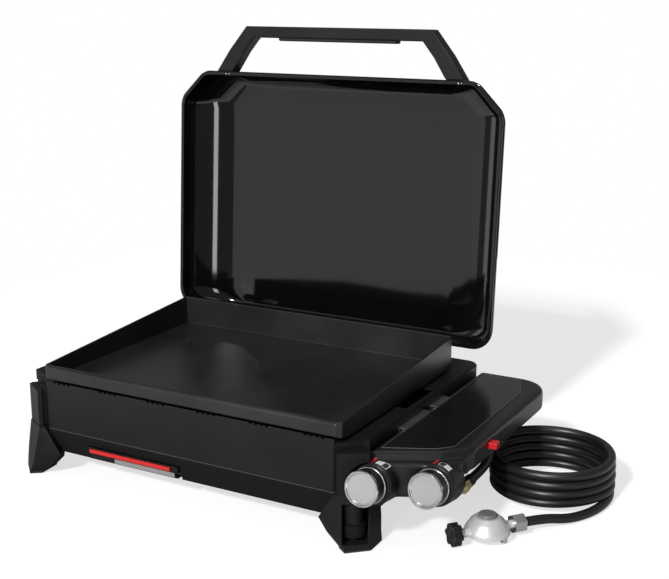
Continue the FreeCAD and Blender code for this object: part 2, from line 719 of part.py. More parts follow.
for side, name, mix_y in ((-1, "left", "venturi_left_y"), (1, "right", "venturi_right_y")):
    centre = "%d * burner_x" % side
    bar_offset = "(burner_span - burner_bar) / 2"
    bars = []
    for bar in (-1, 1):
        x = "%s + %d * %s - burner_bar / 2" % (centre, bar, bar_offset)
        bars.append(block(x, "burner_y - burner_length / 2", "burner_z", "burner_bar", "burner_length",
                          "burner_height"))
    bars.append(block("%s - %s" % (centre, bar_offset), "%s - burner_bar / 2" % mix_y, "burner_z",
                      "2 * " + bar_offset, "burner_bar", "burner_height"))
    mouth = "half_box + 6"
    neck = "%s + %s" % (centre, bar_offset) if side > 0 else centre
    bars.append(rod(neck, mix_y, "venturi_z", "venturi_radius", "%s - (%s)" % (mouth, neck), "x"))
    bars.append(rod(neck, mix_y, "venturi_z", "venturi_radius", "burner_z - venturi_z + 3"))
    hollows = [rod("%s + 3" % neck, mix_y, "venturi_z", "venturi_radius - venturi_wall", "500", "x")]
    port_count = int(amount("(burner_length - burner_bar) / port_pitch"))
    for bar in (-1, 1):
        for i in range(port_count + 1):
            y = "burner_y + (%d - %s / 2) * port_pitch" % (i, port_count)
            x = "%s + %d * %s" % (centre, bar, bar_offset)
            hollows.append(rod(x, y, "burner_z + burner_height - 3", "port_radius", "5"))
    finished(cut(fuse(bars), [fuse(hollows)]), "burner_" + name)

supports = []
for side in (-1, 1):
    for bar in (-1, 1):
        for end in (-1, 1):
            x = "%d * burner_x + %d * (burner_span - burner_bar) / 2 - 10" % (side, bar)
            y = "burner_y + %d * (burner_length / 2 - 10) - bracket_sheet / 2" % end
            supports.append(block(x, y, "floor_top", "20", "bracket_sheet", "burner_z - floor_top"))
finished(fuse(supports), "burner_supports")

# Gas jets, valves, manifold and feed tubes

jets = []
for mix_y in ("venturi_left_y", "venturi_right_y"):
    jets.append(rod("half_box - 2", mix_y, "venturi_z", "5", "12", "x"))
finished(fuse(jets), "gas_jets")


def on_knob_axis(thing, label, x, y):
    """Local Z is the knob axis, from the bezel plane towards the user."""
    turn(thing, (1, 0, 0), "90 - knob_tilt")
    return finished(thing, label, x, y, "knob_z")


valve_places = (("left", "knob_left_x", "knob_left_y"), ("right", "knob_right_x", "knob_right_y"))
bezels = []
valves = []
for name, x, y in valve_places:
    bezel = new_body("Bezel")
    revolve(bezel, [("bezel_inner", "0"), ("bezel_radius", "0"), ("bezel_radius", "bezel_thick - 1"),
                    ("bezel_radius - 1", "bezel_thick"), ("bezel_inner", "bezel_thick")])
    turn(bezel, (1, 0, 0), "90 - knob_tilt")
    bezels.append(move(bezel, x, y, "knob_z"))

    skirt = new_body("Skirt")
    base = "(bezel_thick + knob_travel + run_gap)"
    revolve(skirt, [("stem_radius + 8", base), ("skirt_radius", base),
                    ("skirt_radius", base + " + skirt_thick - 0.8"),
                    ("skirt_radius - 0.8", base + " + skirt_thick"),
                    ("stem_radius + 8", base + " + skirt_thick")])
    on_knob_axis(skirt, "knob_ring_" + name, x, y)

    knob = new_body("Knob")
    foot = "(%s + skirt_thick)" % base
    revolve(knob, [("stem_radius + fit_gap", base), ("stem_radius + 8 - fit_gap", base),
                   ("stem_radius + 8 - fit_gap", foot), ("knob_radius", foot),
                   ("knob_radius", foot + " + knob_length - 2"),
                   ("knob_radius - 1", foot + " + knob_length"), ("0", foot + " + knob_length"),
                   ("0", foot + " + knob_length - 4"),
                   ("stem_radius + fit_gap", foot + " + knob_length - 4")])
    on_knob_axis(knob, "knob_" + name, x, y)

    cap = new_body("Cap")
    seat = "(%s + knob_length)" % foot
    revolve(cap, [("0", seat), ("cap_radius", seat), ("cap_radius", seat + " + cap_thick - 1.2"),
                  ("cap_radius - 1.2", seat + " + cap_thick"), ("cap_radius - cap_rim", seat + " + cap_thick"),
                  ("cap_radius - cap_rim - 1", seat + " + cap_thick - cap_dish"),
                  ("0", seat + " + cap_thick - cap_dish")])
    on_knob_axis(cap, "knob_cap_" + name, x, y)

    valve = new_body("Valve")
    front = "-(boss_face + run_gap)"
    bore = "(stem_radius + fit_gap)"
    revolve(valve, [(bore, front), ("valve_radius", front), ("valve_radius", front + " - valve_length"),
                    ("0", front + " - valve_length"), ("0", front + " - 22"), ("collar_radius - 1", front + " - 22"),
                    ("collar_radius - 1", front + " - 4"), (bore, front + " - 4")])
    turn(valve, (1, 0, 0), "90 - knob_tilt")
    valves.append(move(valve, x, y, "knob_z"))

    stem = new_body("Stem")
    tail = front + " - 6 - knob_travel"
    revolve(stem, [("0", tail), ("stem_radius", tail), ("stem_radius", foot + " + knob_length - 4 - run_gap"),
                   ("0", foot + " + knob_length - 4 - run_gap")])
    on_knob_axis(stem, "valve_stem_" + name, x, y)

finished(fuse(bezels), "knob_bezels")

# Gas line from the inlet nut to the valves, and a feed tube from each valve to its jet

line_back = "25"
line_rise = "(knob_right_y - knob_left_y) / (knob_right_x - knob_left_x)"
line_z = "(knob_z - %s * sin(knob_tilt) - valve_radius - manifold_radius - run_gap)" % line_back
line_points = [
    spot("knob_left_x", "knob_left_y + %s * cos(knob_tilt)" % line_back, line_z),
    spot("inlet_x", "knob_right_y + %s * cos(knob_tilt) + (inlet_x - knob_right_x) * %s" % (line_back, line_rise),
         line_z),
    spot("inlet_x", "inlet_y - inlet_nut_length", line_z),
]
line_solid, line_length = pipe(line_points, [10], amount("manifold_radius"))
line_clear, line_length = pipe(line_points, [10], amount("manifold_radius + run_gap"))
line_way = doc.addObject("Part::Feature", "LineWay")
line_way.Shape = line_clear
line_body = doc.addObject("Part::Feature", "LineBody")
line_body.Shape = line_solid
shaped(line_solid, "gas_manifold")
taps = []
for name, x, y in valve_places:
    taps.append(rod("%s + 5" % x, "%s + %s * cos(knob_tilt) + 5 * %s" % (y, line_back, line_rise), line_z,
                    "3.5", "manifold_radius + valve_radius"))
finished(cut(fuse(valves + taps), [line_body]), "gas_valves")

feeds = []
valve_back = "(valve_length + boss_face + run_gap - 2)"
for name, x, y in valve_places:
    mix_y = "venturi_%s_y" % name
    start = spot(x, "%s + %s * cos(knob_tilt)" % (y, valve_back), "knob_z - %s * sin(knob_tilt)" % valve_back)
    near = spot(x + " + 2", mix_y, "venturi_z")
    feed, feed_length = pipe([start, near, spot("half_box + 10", mix_y, "venturi_z")], [7],
                             amount("gas_tube_radius"))
    feeds.append(feed)
shaped(Part.makeCompound(feeds), "gas_feed_tubes")

# Control pod with a round boss behind each knob

bosses = []
hollows = []
knob_spaces = []
for name, x, y in valve_places:
    boss = new_body("Boss")
    revolve(boss, [("0", "0"), ("0", "-boss_length"), ("boss_radius", "-boss_length"),
                   ("boss_radius", "-2"), ("boss_radius - 2", "0")])
    turn(boss, (1, 0, 0), "90 - knob_tilt")
    bosses.append(move(boss, x, y, "knob_z"))
    hollow = new_body("Hollow")
    revolve(hollow, [("0", "-boss_face"), ("boss_radius - 3", "-boss_face"),
                     ("boss_radius - 3", "-boss_length - 10"), ("0", "-boss_length - 10")])
    turn(hollow, (1, 0, 0), "90 - knob_tilt")
    hollows.append(move(hollow, x, y, "knob_z"))
    hole = new_body("StemHole")
    revolve(hole, [("0", "5"), ("stem_radius + run_gap", "5"), ("stem_radius + run_gap", "-10"), ("0", "-10")])
    turn(hole, (1, 0, 0), "90 - knob_tilt")
    hollows.append(move(hole, x, y, "knob_z"))
    space = new_body("KnobSpace")
    revolve(space, [("0", "0"), ("boss_radius - 1", "0"), ("boss_radius - 1", "80"), ("0", "80")])
    turn(space, (1, 0, 0), "90 - knob_tilt")
    knob_spaces.append(move(space, x, y, "knob_z"))
web = new_body("Web")
pad(web, "XY", [
    ("knob_left_x", "knob_left_y + 12"),
    ("knob_right_x - 12", "knob_right_y + 8"),
    ("knob_right_x - 12", "knob_right_y + 34"),
    ("knob_left_x", "knob_left_y + 34"),
], "52", "knob_z - 26")
hood = new_body("Hood")
pad(hood, "XY", [
    ("table_inner_x + 4", "table_front_y - 14"),
    ("table_nose_x + 2", "table_nose_y - 22"),
    ("table_outer_x - 6", "table_side_y - 30"),
    ("table_outer_x - 6", "table_side_y"),
    ("table_inner_x + 4", "table_side_y"),
], "table_low_z - knob_z + 24", "knob_z")
hood_hollow = new_body("HoodHollow")
pad(hood_hollow, "XY", [
    ("table_inner_x + 2", "table_front_y - 9"),
    ("table_nose_x - 2", "table_nose_y - 14"),
    ("table_outer_x - 10", "table_side_y - 26"),
    ("table_outer_x - 10", "table_side_y + 10"),
    ("table_inner_x + 2", "table_side_y + 10"),
], "table_low_z - knob_z + 30", "knob_z - 10")

table_outline = [
    ("table_inner_x", "table_front_y"),
    ("table_nose_x", "table_nose_y"),
    ("table_outer_x", "table_side_y"),
    ("table_outer_x", "table_back_y"),
    ("table_inner_x", "table_back_y"),
]
table_space = new_body("TableSpace")
pad(table_space, "XY", [("half_box - 10", "table_front_y")] + table_outline[:4] + [("half_box - 10", "table_back_y")],
    "table_thick + 20", "table_low_z")
upper_leg = new_body("UpperLeg")
pad(upper_leg, "XY", [
    ("half_box - 32", "-5"),
    ("half_box - 27", "-10"),
    ("half_box + 13", "15"),
    ("half_box + 13", "22"),
    ("half_box + 4", "31"),
], "leg_top_z - leg_waist_z", "leg_waist_z")
leg_web = new_body("LegWeb")
pad(leg_web, "XY", [
    ("half_box - box_chamfer + 8", "8"),
    ("half_box - box_chamfer + 14", "2"),
    ("half_box + 2", "box_chamfer - 10"),
    ("half_box - 4", "box_chamfer - 4"),
], "leg_top_z - leg_waist_z", "leg_waist_z")
box_space = new_body("BoxSpace")
pad(box_space, "XY", [
    ("0", "0"),
    ("half_box - box_chamfer", "0"),
    ("half_box + 0.3", "box_chamfer"),
    ("half_box + 0.3", "box_depth"),
    ("0", "box_depth"),
], "rim_z", "0")
pod = cut(fuse(bosses + [cut(fuse([web, cut(hood, [hood_hollow])]), [upper_leg])]),
          hollows + knob_spaces + [table_space, box_space, line_way])
finished(pod, "control_pod")

# Side table

table_body = new_body("TableForm")
pad(table_body, "XY", table_outline, "table_thick", "table_low_z")
outer_x = amount("table_outer_x")
inner_x = amount("table_inner_x")
back_y = amount("table_back_y")
round_edges(table_body, "table_corner", lambda edge: is_upright(edge) and edge.BoundBox.XMin > outer_x - 1
            and edge.BoundBox.YMin > back_y - 1)
round_edges(table_body, "table_front_corner", lambda edge: is_upright(edge) and edge.BoundBox.YMin < back_y - 60
            and edge.BoundBox.XMin > inner_x + 1)
top_z = amount("table_top_z")
low_z = amount("table_low_z")
round_edges(table_body, "table_crown", lambda edge: edge.BoundBox.ZMin > top_z - 0.1
            and edge.BoundBox.XMax > inner_x + 1)
pocket(table_body, "XY", [
    ("table_inner_x + table_skin", "table_front_y + table_skin + 2"),
    ("table_nose_x - 1", "table_nose_y + table_skin + 1"),
    ("table_outer_x - table_skin", "table_side_y + table_skin"),
    ("table_outer_x - table_skin", "table_back_y - table_corner"),
    ("table_outer_x - table_corner", "table_back_y - table_skin"),
    ("table_inner_x + table_skin", "table_back_y - table_skin"),
], "table_thick - panel_thick - table_skin", "table_top_z - panel_thick - table_skin")


def panel_outline(inset):
    """The inset panel's outline, made smaller by the inset."""
    inner = "table_inner_x + panel_side_margin + %s" % inset
    outer = "table_outer_x - panel_margin - %s" % inset
    back = "table_back_y - panel_back_margin - %s" % inset
    return [
        (inner, "table_front_y + panel_front_margin + 1.2 * %s" % inset),
        ("table_nose_x - panel_nose - 0.2 * %s" % inset, "table_nose_y + 6 + 1.3 * %s" % inset),
        (outer, "table_side_y - 8 + 0.6 * %s" % inset),
        (outer, back + " - 2.8 * panel_corner"),
        (outer + " - panel_corner", back),
        (inner, back),
    ]


pocket(table_body, "XY", panel_outline("0"), "panel_thick", "table_top_z")
button_hole = block("table_outer_x - table_skin - 10", "button_y - button_wide / 2 - run_gap",
                    "button_z - button_tall / 2 - run_gap", "30", "button_wide + 2 * run_gap",
                    "button_tall + 2 * run_gap")
wire_hole = block("table_inner_x - 2", "button_y - 8", "button_z - 16", "table_skin + 4", "16", "12")
finished(cut(table_body, [button_hole, wire_hole]), "side_table")

panel_body = new_body("PanelForm")
pad(panel_body, "XY", panel_outline("panel_gap"), "panel_thick - panel_sink", "table_top_z - panel_thick")
inset_shape = finished(panel_body, "table_panel")

table_plates = []
for y, length in (("plate_a_y", "plate_a_length"), ("plate_b_y", "plate_b_length")):
    table_plates.append(block("half_box", y, "table_top_z", "table_inner_x - half_box + 7", length,
                              "bracket_sheet"))
    table_plates.append(block("half_box", y, "table_low_z - 4", "bracket_sheet", length,
                              "table_top_z - table_low_z + 4"))
finished(cut(fuse(table_plates), [wire_door]), "table_brackets")

# Igniter

button = block("table_outer_x - 12", "button_y - button_wide / 2", "button_z - button_tall / 2",
               "12 + button_proud", "button_wide", "button_tall")
rounded = doc.addObject("Part::Fillet", "ButtonRound")
rounded.Base = button
doc.recompute()
button_edges = []
button_end = amount("table_outer_x + button_proud")
for number, edge in enumerate(button.Shape.Edges, start=1):
    if edge.BoundBox.XMin > button_end - 0.1 or edge.BoundBox.XLength > 5:
        button_edges.append((number, 1.6, 1.6))
rounded.Edges = button_edges
finished(rounded, "igniter_button")
igniter = rod("table_outer_x - 12 - button_travel - igniter_length", "button_y", "button_z",
              "igniter_radius", "igniter_length - run_gap", "x")
igniter_shelf = block("table_outer_x - 12 - button_travel - igniter_length", "button_y - igniter_radius - 2",
                      "button_z + igniter_radius - 3", "igniter_length", "igniter_radius * 2 + 4",
                      "table_top_z - panel_thick - table_skin - button_z - igniter_radius + 3")
finished(fuse([igniter, igniter_shelf]), "igniter_body")

# Electrodes beside the burners and their wires

electrodes = []
wires = []
door_z = "button_z - 10"
for side, lane in ((-1, 4), (1, -4)):
    x = "%d * burner_x + (burner_span + 12) / 2 + 6" % side
    y = "venturi_left_y + burner_bar + 1"
    electrodes.append(rod(x, y, "floor_top", "4", "burner_z + burner_height - 4 - floor_top"))
    electrodes.append(rod(x, y, "burner_z + burner_height - 4", "1.2", "12"))
    lane_y = "button_y + %d" % lane
    bend_x = "half_box - %d" % (28 if side < 0 else 34)
    last = spot("%s + 4" % x, y, "floor_top + 6")
    points = [
        spot("table_outer_x - 12 - button_travel - igniter_length", lane_y, "button_z"),
        spot("table_outer_x - 28 - button_travel - igniter_length", lane_y, "button_z"),
        spot("table_inner_x + 46", lane_y, door_z),
        spot(bend_x, lane_y, door_z),
        spot(bend_x, lane_y, "floor_top + 6"),
        spot("half_box - 110", "%s + 6" % y, "floor_top + 6") if side < 0 else
        spot("%s + 24" % x, y, "floor_top + 6"),
        last,
    ]
    wire, wire_length = pipe(points, [6] * 5, 1.5)
    wires.append(wire)
finished(fuse(electrodes), "igniter_electrodes")
shaped(Part.makeCompound(wires), "igniter_wires")

# Legs

leg_levels = [
    ("pad_height", [("292", "-8"), ("309", "-21"), ("339", "7"), ("338", "46"), ("296", "34")]),
    ("leg_knee_z / 2", [("270", "-5"), ("302", "-19"), ("338", "8"), ("336", "47"), ("278", "34")]),
    ("leg_knee_z", [("254", "-3"), ("298", "-17"), ("336", "9"), ("335", "49"), ("276", "36")]),
    ("leg_waist_z", [("284", "-6"), ("289", "-12"), ("331", "13"), ("331", "50"), ("284", "50")]),
]
leg_x_shift = "half_box - 318"


def leg_loft(levels):
    body = new_body("LegForm")
    sketches = []
    for height, corners in levels:
        sketch = sketch_on(body, "XY", height)
        draw_outline(sketch, [("%s + %s" % (leg_x_shift, u), v) for u, v in corners])
        sketches.append(sketch)
    loft = body.newObject("PartDesign::AdditiveLoft", "Loft")
    loft.Profile = sketches[0]
    loft.Sections = sketches[1:]
    loft.Ruled = True
    return body


leg_form = leg_loft(leg_levels)
box_cutter = cookbox_form("0", "bottom_z", "LegClear")
ring_z = "(window_floor_z + ring_lift)"
window = new_body("WindowForm")
pad(window, "XY", [
    ("leveller_x + 9", "leveller_y - 52"),
    ("leveller_x - 6", "leveller_y - 26"),
    ("leveller_x - ring_radius - 1", "leveller_y - 14"),
    ("leveller_x - ring_radius - 1", "leveller_y + ring_radius + 1"),
    ("leveller_x + 14", "leveller_y + ring_radius + 1"),
    ("leveller_x + 26", "leveller_y + 17"),
    ("leveller_x + 30", "leveller_y - 10"),
    ("leveller_x + 45", "leveller_y - 36"),
], "window_top_z + 1 - " + ring_z, ring_z + " - 1")
pad(window, "XY", [
    ("leveller_x + 9", "leveller_y - 52"),
    ("leveller_x - 6", "leveller_y - 26"),
    ("leveller_x - 6", "leveller_y + 14"),
    ("leveller_x + 26", "leveller_y + 15"),
    ("leveller_x + 30", "leveller_y - 10"),
    ("leveller_x + 45", "leveller_y - 36"),
], "ring_lift - 1", "window_floor_z")
stud_way = rod("leveller_x", "leveller_y", "-1", "stud_radius + run_gap", "window_floor_z + 2")
leg = cut(fuse([leg_form, upper_leg, leg_web]), [box_cutter, across_corner("2.5 + fit_gap", "13", "-1")])
leg_socket = rod("leveller_x", "leveller_y", ring_z + " + run_gap + ring_height", "socket_radius",
                 "window_top_z + 1 - run_gap - ring_height - " + ring_z)
socket_bore = rod("leveller_x", "leveller_y", "window_floor_z", "stud_radius + fit_gap", "window_top_z - 20")
socket = cut(leg_socket, [socket_bore, box_cutter])
boss_space = new_body("BossSpace")
boss_clear = "boss_radius + run_gap"
revolve(boss_space, [("0", "-boss_length - run_gap"), (boss_clear, "-boss_length - run_gap"),
                     (boss_clear, "80"), ("0", "80")])
turn(boss_space, (1, 0, 0), "90 - knob_tilt")
move(boss_space, "knob_left_x", "knob_left_y", "knob_z")
finished(cut(fuse([cut(leg, [window, stud_way]), socket]), [boss_space, table_space]), "leg_front_right")
finished(mirrored(leg, (1, 0, 0)), "leg_front_left")
rear_leg = cut(mirrored(leg_form, (0, 1, 0), y="box_depth / 2"),
               [cookbox_form("0", "bottom_z", "RearClear")])
finished(rear_leg, "leg_rear_right")
finished(mirrored(rear_leg, (1, 0, 0), x="middle_x"), "leg_rear_left", placed=True)

pad_form = new_body("PadForm")
pad(pad_form, "XY", [("%s + %s" % (leg_x_shift, u), v) for u, v in leg_levels[0][1]], "pad_height")
pad_cut = cut(pad_form, [rod("leveller_x", "leveller_y", "-1", "stud_radius + 1", "20")])
front_pads = [pad_cut, mirrored(pad_form, (1, 0, 0))]
rear_pad = mirrored(pad_form, (0, 1, 0), y="box_depth / 2")
finished(fuse(front_pads + [rear_pad, mirrored(rear_pad, (1, 0, 0))]), "foot_pads")

leg_screw = fuse([across_corner("2.5", "sheet + 11", "-sheet - 1"),
                  across_corner("5", "2.5", "-sheet - 2.5")])
finished(fuse([leg_screw, mirrored(leg_screw, (1, 0, 0))]), "leg_screws")

ring = new_body("RingForm")
revolve(ring, [("stud_radius + fit_gap", "0"), ("ring_radius - 1", "0"), ("ring_radius", "1"),
               ("ring_radius", "ring_height - 1"), ("ring_radius - 1", "ring_height"),
               ("stud_radius + fit_gap", "ring_height")])
finished(ring, "levelling_ring", "leveller_x", "leveller_y", ring_z)
stud = new_body("StudForm")
revolve(stud, [("0", "0.5"), ("stud_radius", "0.5"), ("stud_radius", "window_top_z - 18"),
               ("0", "window_top_z - 18")])
finished(stud, "levelling_stud", "leveller_x", "leveller_y")

# Lid, drawn closed with the hinge axis as its origin, then swung open


def on_hinge(thing, label):
    turn(thing, (-1, 0, 0), "90 + lid_lean")
    return finished(thing, label, "0", "hinge_y", "hinge_z")


def lid_form(inset, name):
    """The lid's outside, made smaller by the inset: two curved sections and the cut-off corners."""
    side = "(shell_half - %s)" % inset
    front = "-(lid_front - rim_width + lid_sheet - %s)" % inset
    back = "-(hinge_back + rim_width - lid_sheet + %s)" % inset
    low = "-hinge_drop" if inset == "0" else "-hinge_drop - 10"
    top = "lid_depth - hinge_drop - %s" % inset
    across = new_body(name + "Across")
    pad(across, "XZ", [("-" + side, low), (side, low), (side, top), ("-" + side, top)],
        "lid_length * 1.2")
    doc.recompute()
    high = amount(top)
    round_edges(across, "lid_shoulder - %s" % inset,
                lambda edge: edge.BoundBox.ZMin > high - 0.1 and edge.BoundBox.XLength < 0.01)
    along = new_body(name + "Along")
    pad(along, "YZ", [(front, low), (back, low), (back, top), (front, top)], "lid_width * 1.1", middle=True)
    round_edges(along, "lid_front_radius - %s" % inset,
                lambda edge: edge.BoundBox.ZMin > high - 0.1 and edge.BoundBox.YLength < 0.01)
    around = new_body(name + "Around")
    corner = "(lid_chamfer - 0.586 * %s)" % inset
    pad(around, "XY", [
        ("-" + side, back),
        (side, back),
        (side, "%s + %s" % (front, corner)),
        ("%s - %s" % (side, corner), front),
        ("-%s + %s" % (side, corner), front),
        ("-" + side, "%s + %s" % (front, corner)),
    ], "lid_depth * 2", "-hinge_drop - 20")
    near = amount(back)
    round_edges(around, "lid_corner - 6 - %s" % inset,
                lambda edge: is_upright(edge) and edge.BoundBox.YMin > near - 1)
    return common([across, along, around])


lid_outer = lid_form("0", "LidOuter")
lid_inner = lid_form("lid_sheet", "LidInner")


def rim_form(inset, drop, height):
    body = new_body("RimForm")
    side = "(lid_width / 2 - %s)" % inset
    corner = "(lid_chamfer - 0.586 * %s)" % inset
    front = "-(lid_front - %s)" % inset
    back = "-(hinge_back + %s)" % inset
    pad(body, "XY", [
        ("-" + side, back),
        (side, back),
        (side, "%s + %s" % (front, corner)),
        ("%s - %s" % (side, corner), front),
        ("-%s + %s" % (side, corner), front),
        ("-" + side, "%s + %s" % (front, corner)),
    ], height, drop)
    near = amount(back)
    round_edges(body, "lid_corner - %s" % inset,
                lambda edge: is_upright(edge) and edge.BoundBox.YMin > near - 1)
    return body


rim_outer = rim_form("0", "-hinge_drop", "rim_height")
rim_cutter = rim_form("rim_width", "-hinge_drop - 5", "rim_height + 10")
lid_shell = fuse([cut(lid_outer, [lid_inner]), cut(rim_outer, [rim_cutter])])
screw_ways = []
handle_screws = []
for side in (-1, 1):
    for place in (-0.5, 0.5):
        handle_screws.append(("%d * handle_screw_x + %s * handle_screw_gap" % (side, place),
                              "handle_rise - hinge_drop + handle_screw_rise"))
for x, z in handle_screws:
    screw_ways.append(rod(x, "-lid_front - 20", z, "2 + fit_gap", "60", "y"))
on_hinge(cut(lid_shell, [fuse(screw_ways)]), "lid_shell")

handle = new_body("HandleForm")
wall_y = "-(lid_front - rim_width + lid_sheet)"
tip_y = "-(lid_front + handle_reach)"
leg_y = "(%s + %s) / 2" % (wall_y, tip_y)
inner_foot = "handle_foot_x - handle_foot"
inner_top = "handle_top_x - handle_foot + handle_slope * handle_bar / handle_reach"
outer_bend = "(handle_foot_x + handle_top_x) / 2 + handle_bow"
inner_bend = "(%s + %s) / 2 + handle_bow" % (inner_foot, inner_top)
inner_y = "%s + handle_bar" % tip_y
half_outline = [
    ("handle_top_x", tip_y),
    (outer_bend, leg_y),
    ("handle_foot_x", wall_y),
    (inner_foot, wall_y),
    (inner_bend, "%s + handle_bar / 2" % leg_y),
    (inner_top, inner_y),
]
other_half = [("-(%s)" % u, v) for u, v in reversed(half_outline)]
pad(handle, "XY", half_outline + other_half, "handle_thick", "handle_rise - hinge_drop - handle_thick / 2")
tip = amount(tip_y)
round_edges(handle, "3", lambda edge: edge.BoundBox.ZLength < 0.01 and edge.BoundBox.YMin < tip + 40)
rim_groove = block("-lid_width", "%s - rim_width" % wall_y, "-hinge_drop - 5", "lid_width * 2",
                   "rim_width + lid_sheet", "rim_height + 5 + run_gap")
handle_ways = fuse([rod(x, "%s - 14" % wall_y, z, "2 + fit_gap", "60", "y") for x, z in handle_screws])
on_hinge(cut(handle, [rim_groove, handle_ways]), "lid_handle")

grip = new_body("GripForm")
pad(grip, "XY", rectangle("-grip_half", "%s + handle_bar" % tip_y, "grip_half",
                          "%s + handle_bar + grip_drop" % tip_y), "handle_thick - 6",
    "handle_rise - hinge_drop - handle_thick / 2 + 3")
on_hinge(grip, "handle_grip")

screws = []
for x, z in handle_screws:
    screws.append(rod(x, "%s - 12" % wall_y, z, "2", "12 + lid_sheet", "y"))
    screws.append(rod(x, "%s + lid_sheet" % wall_y, z, "3.2", "2.5", "y"))
on_hinge(fuse(screws), "handle_screws")

# Hinges

arms = []
for side in (-1, 1):
    x = "%d * hinge_x - knuckle_length / 2" % side
    knuckle = rod(x, "0", "0", "knuckle_radius", "knuckle_length", "x")
    strap = block(x, "-(hinge_back + rim_width - lid_sheet)", "rim_height - hinge_drop + run_gap",
                  "knuckle_length", "hinge_back + rim_width - lid_sheet + 2", "3")
    plate = block(x, "-(hinge_back + rim_width - lid_sheet)", "rim_height - hinge_drop + run_gap",
                  "knuckle_length", "3", "26")
    bore = rod("%s - 5" % x, "0", "0", "pin_radius + fit_gap", "knuckle_length + 10", "x")
    arms.append(cut(fuse([knuckle, strap, plate]), [bore]))
on_hinge(fuse(arms), "hinge_arms")

brackets = []
pins = []
for side in (-1, 1):
    for ear in (-1, 1):
        start = "%d * hinge_x + %d * (knuckle_length / 2 + run_gap)" % (side, ear)
        x = start if ear > 0 else start + " - ear_sheet"
        lug = rod(x, "0", "0", "knuckle_radius", "ear_sheet", "x")
        neck = block(x, "-4", "rim_z - hinge_z", "ear_sheet", "9", "hinge_z - rim_z")
        brackets.append(cut(fuse([lug, neck]),
                            [rod("%s - 2" % x, "0", "0", "pin_radius + fit_gap", "ear_sheet + 4", "x")]))
    brackets.append(block("%d * hinge_x - knuckle_length / 2 - 12" % side, "-24", "rim_z - hinge_z",
                          "knuckle_length + 24", "29", "ear_sheet"))
    pins.append(rod("%d * hinge_x - knuckle_length / 2 - ear_sheet - 1.5" % side, "0", "0", "pin_radius",
                    "knuckle_length + 2 * ear_sheet + 3", "x"))
finished(fuse(brackets), "hinge_brackets", "0", "hinge_y", "hinge_z")
finished(fuse(pins), "hinge_pins", "0", "hinge_y", "hinge_z")

# Drip tray

face = block("tray_left_x", "tray_inset - 3", "tray_face_low", "tray_width", "3", "tray_face_high - tray_face_low")
frame_outer = block("tray_left_x + 2", "tray_inset", "tray_frame_z", "tray_width - 4", "tray_depth", "tray_frame")
frame_inner = block("tray_left_x + 12", "tray_inset + 10", "tray_frame_z - 1", "tray_width - 24", "tray_depth - 20", "10")
face_web = block("tray_left_x + 2", "tray_inset", "tray_frame_z", "pan_lip_x - tray_left_x - 4", "2",
                 "tray_face_low + 6 - tray_frame_z")
finished(fuse([face, cut(frame_outer, [frame_inner]), face_web]), "drip_tray")
finished(block("0", "0", "0", "tray_width - 20", "strip_proud", "strip_height"), "tray_strip",
         "tray_left_x + 6", "tray_inset - 3 - strip_proud", "tray_face_high - strip_height - 2")
pan_reach = "(tray_right_x - 8 - pan_lip_x)"
flange = block("pan_lip_x", "tray_inset - 1", "foil_top", pan_reach, "tray_depth - 4", "foil")
pan_lip = block("pan_lip_x", "tray_inset - 1", "foil_top - pan_lip_drop", pan_reach, "1",
                "tray_face_low - 1 - foil_top + pan_lip_drop")
basin = block("pan_lip_x + 4", "basin_front_y", "foil_floor_z", pan_reach + " - 8",
              "tray_depth - 12 - basin_front_y", "foil_top + foil - foil_floor_z")
basin_hollow = block("pan_lip_x + 4 + foil", "basin_front_y + foil", "foil_floor_z + foil",
                     pan_reach + " - 8 - 2 * foil", "tray_depth - 12 - basin_front_y - 2 * foil", "60")
finished(cut(fuse([flange, pan_lip, basin]), [basin_hollow]), "grease_pan")
rails = []
for side in (-1, 1):
    inner = "tray_middle + %d * (tray_width / 2 - 2 + run_gap)" % side
    web_x = inner if side > 0 else inner + " - bracket_sheet"
    low = "tray_frame_z - run_gap - bracket_sheet"
    foot_x = web_x + " - 6" if side > 0 else web_x
    rails.append(fuse([
        block(web_x, "tray_inset + 24", low, "bracket_sheet", "tray_depth - 24", "floor_z - (%s)" % low),
        block(foot_x, "tray_inset + 24", low, "6 + bracket_sheet", "tray_depth - 24", "bracket_sheet"),
    ]))
finished(fuse(rails), "tray_rails")

# Gas inlet nut and the hose end behind it


def hexagon(flats, length, name="Hexagon"):
    thing = doc.addObject("Part::Prism", name)
    thing.Polygon = 6
    return bind(thing, Circumradius="%s / 1.7320508 " % flats, Height=length)


inlet_bore = rod("0", "0", "-1", "manifold_radius - 2", "60")
nut = cut(hexagon("inlet_nut", "inlet_nut_length"), [inlet_bore])
turn(nut, (-1, 0, 0), "90")
finished(nut, "gas_inlet_nut", "inlet_x", "inlet_y - inlet_nut_length", line_z)
adapter = new_body("AdapterForm")
revolve(adapter, [("0", "0"), ("manifold_radius + 1", "0"), ("manifold_radius + 1", "6"),
                  ("hose_radius + 1.8", "7"), ("hose_radius + 1.8", "adapter_length"), ("0", "adapter_length")])
turn(adapter, (-1, 0, 0), "90")
finished(adapter, "hose_adapter", "inlet_x", "inlet_y", line_z)

# Hose: down from the inlet, a standing coil, then along the ground to the regulator

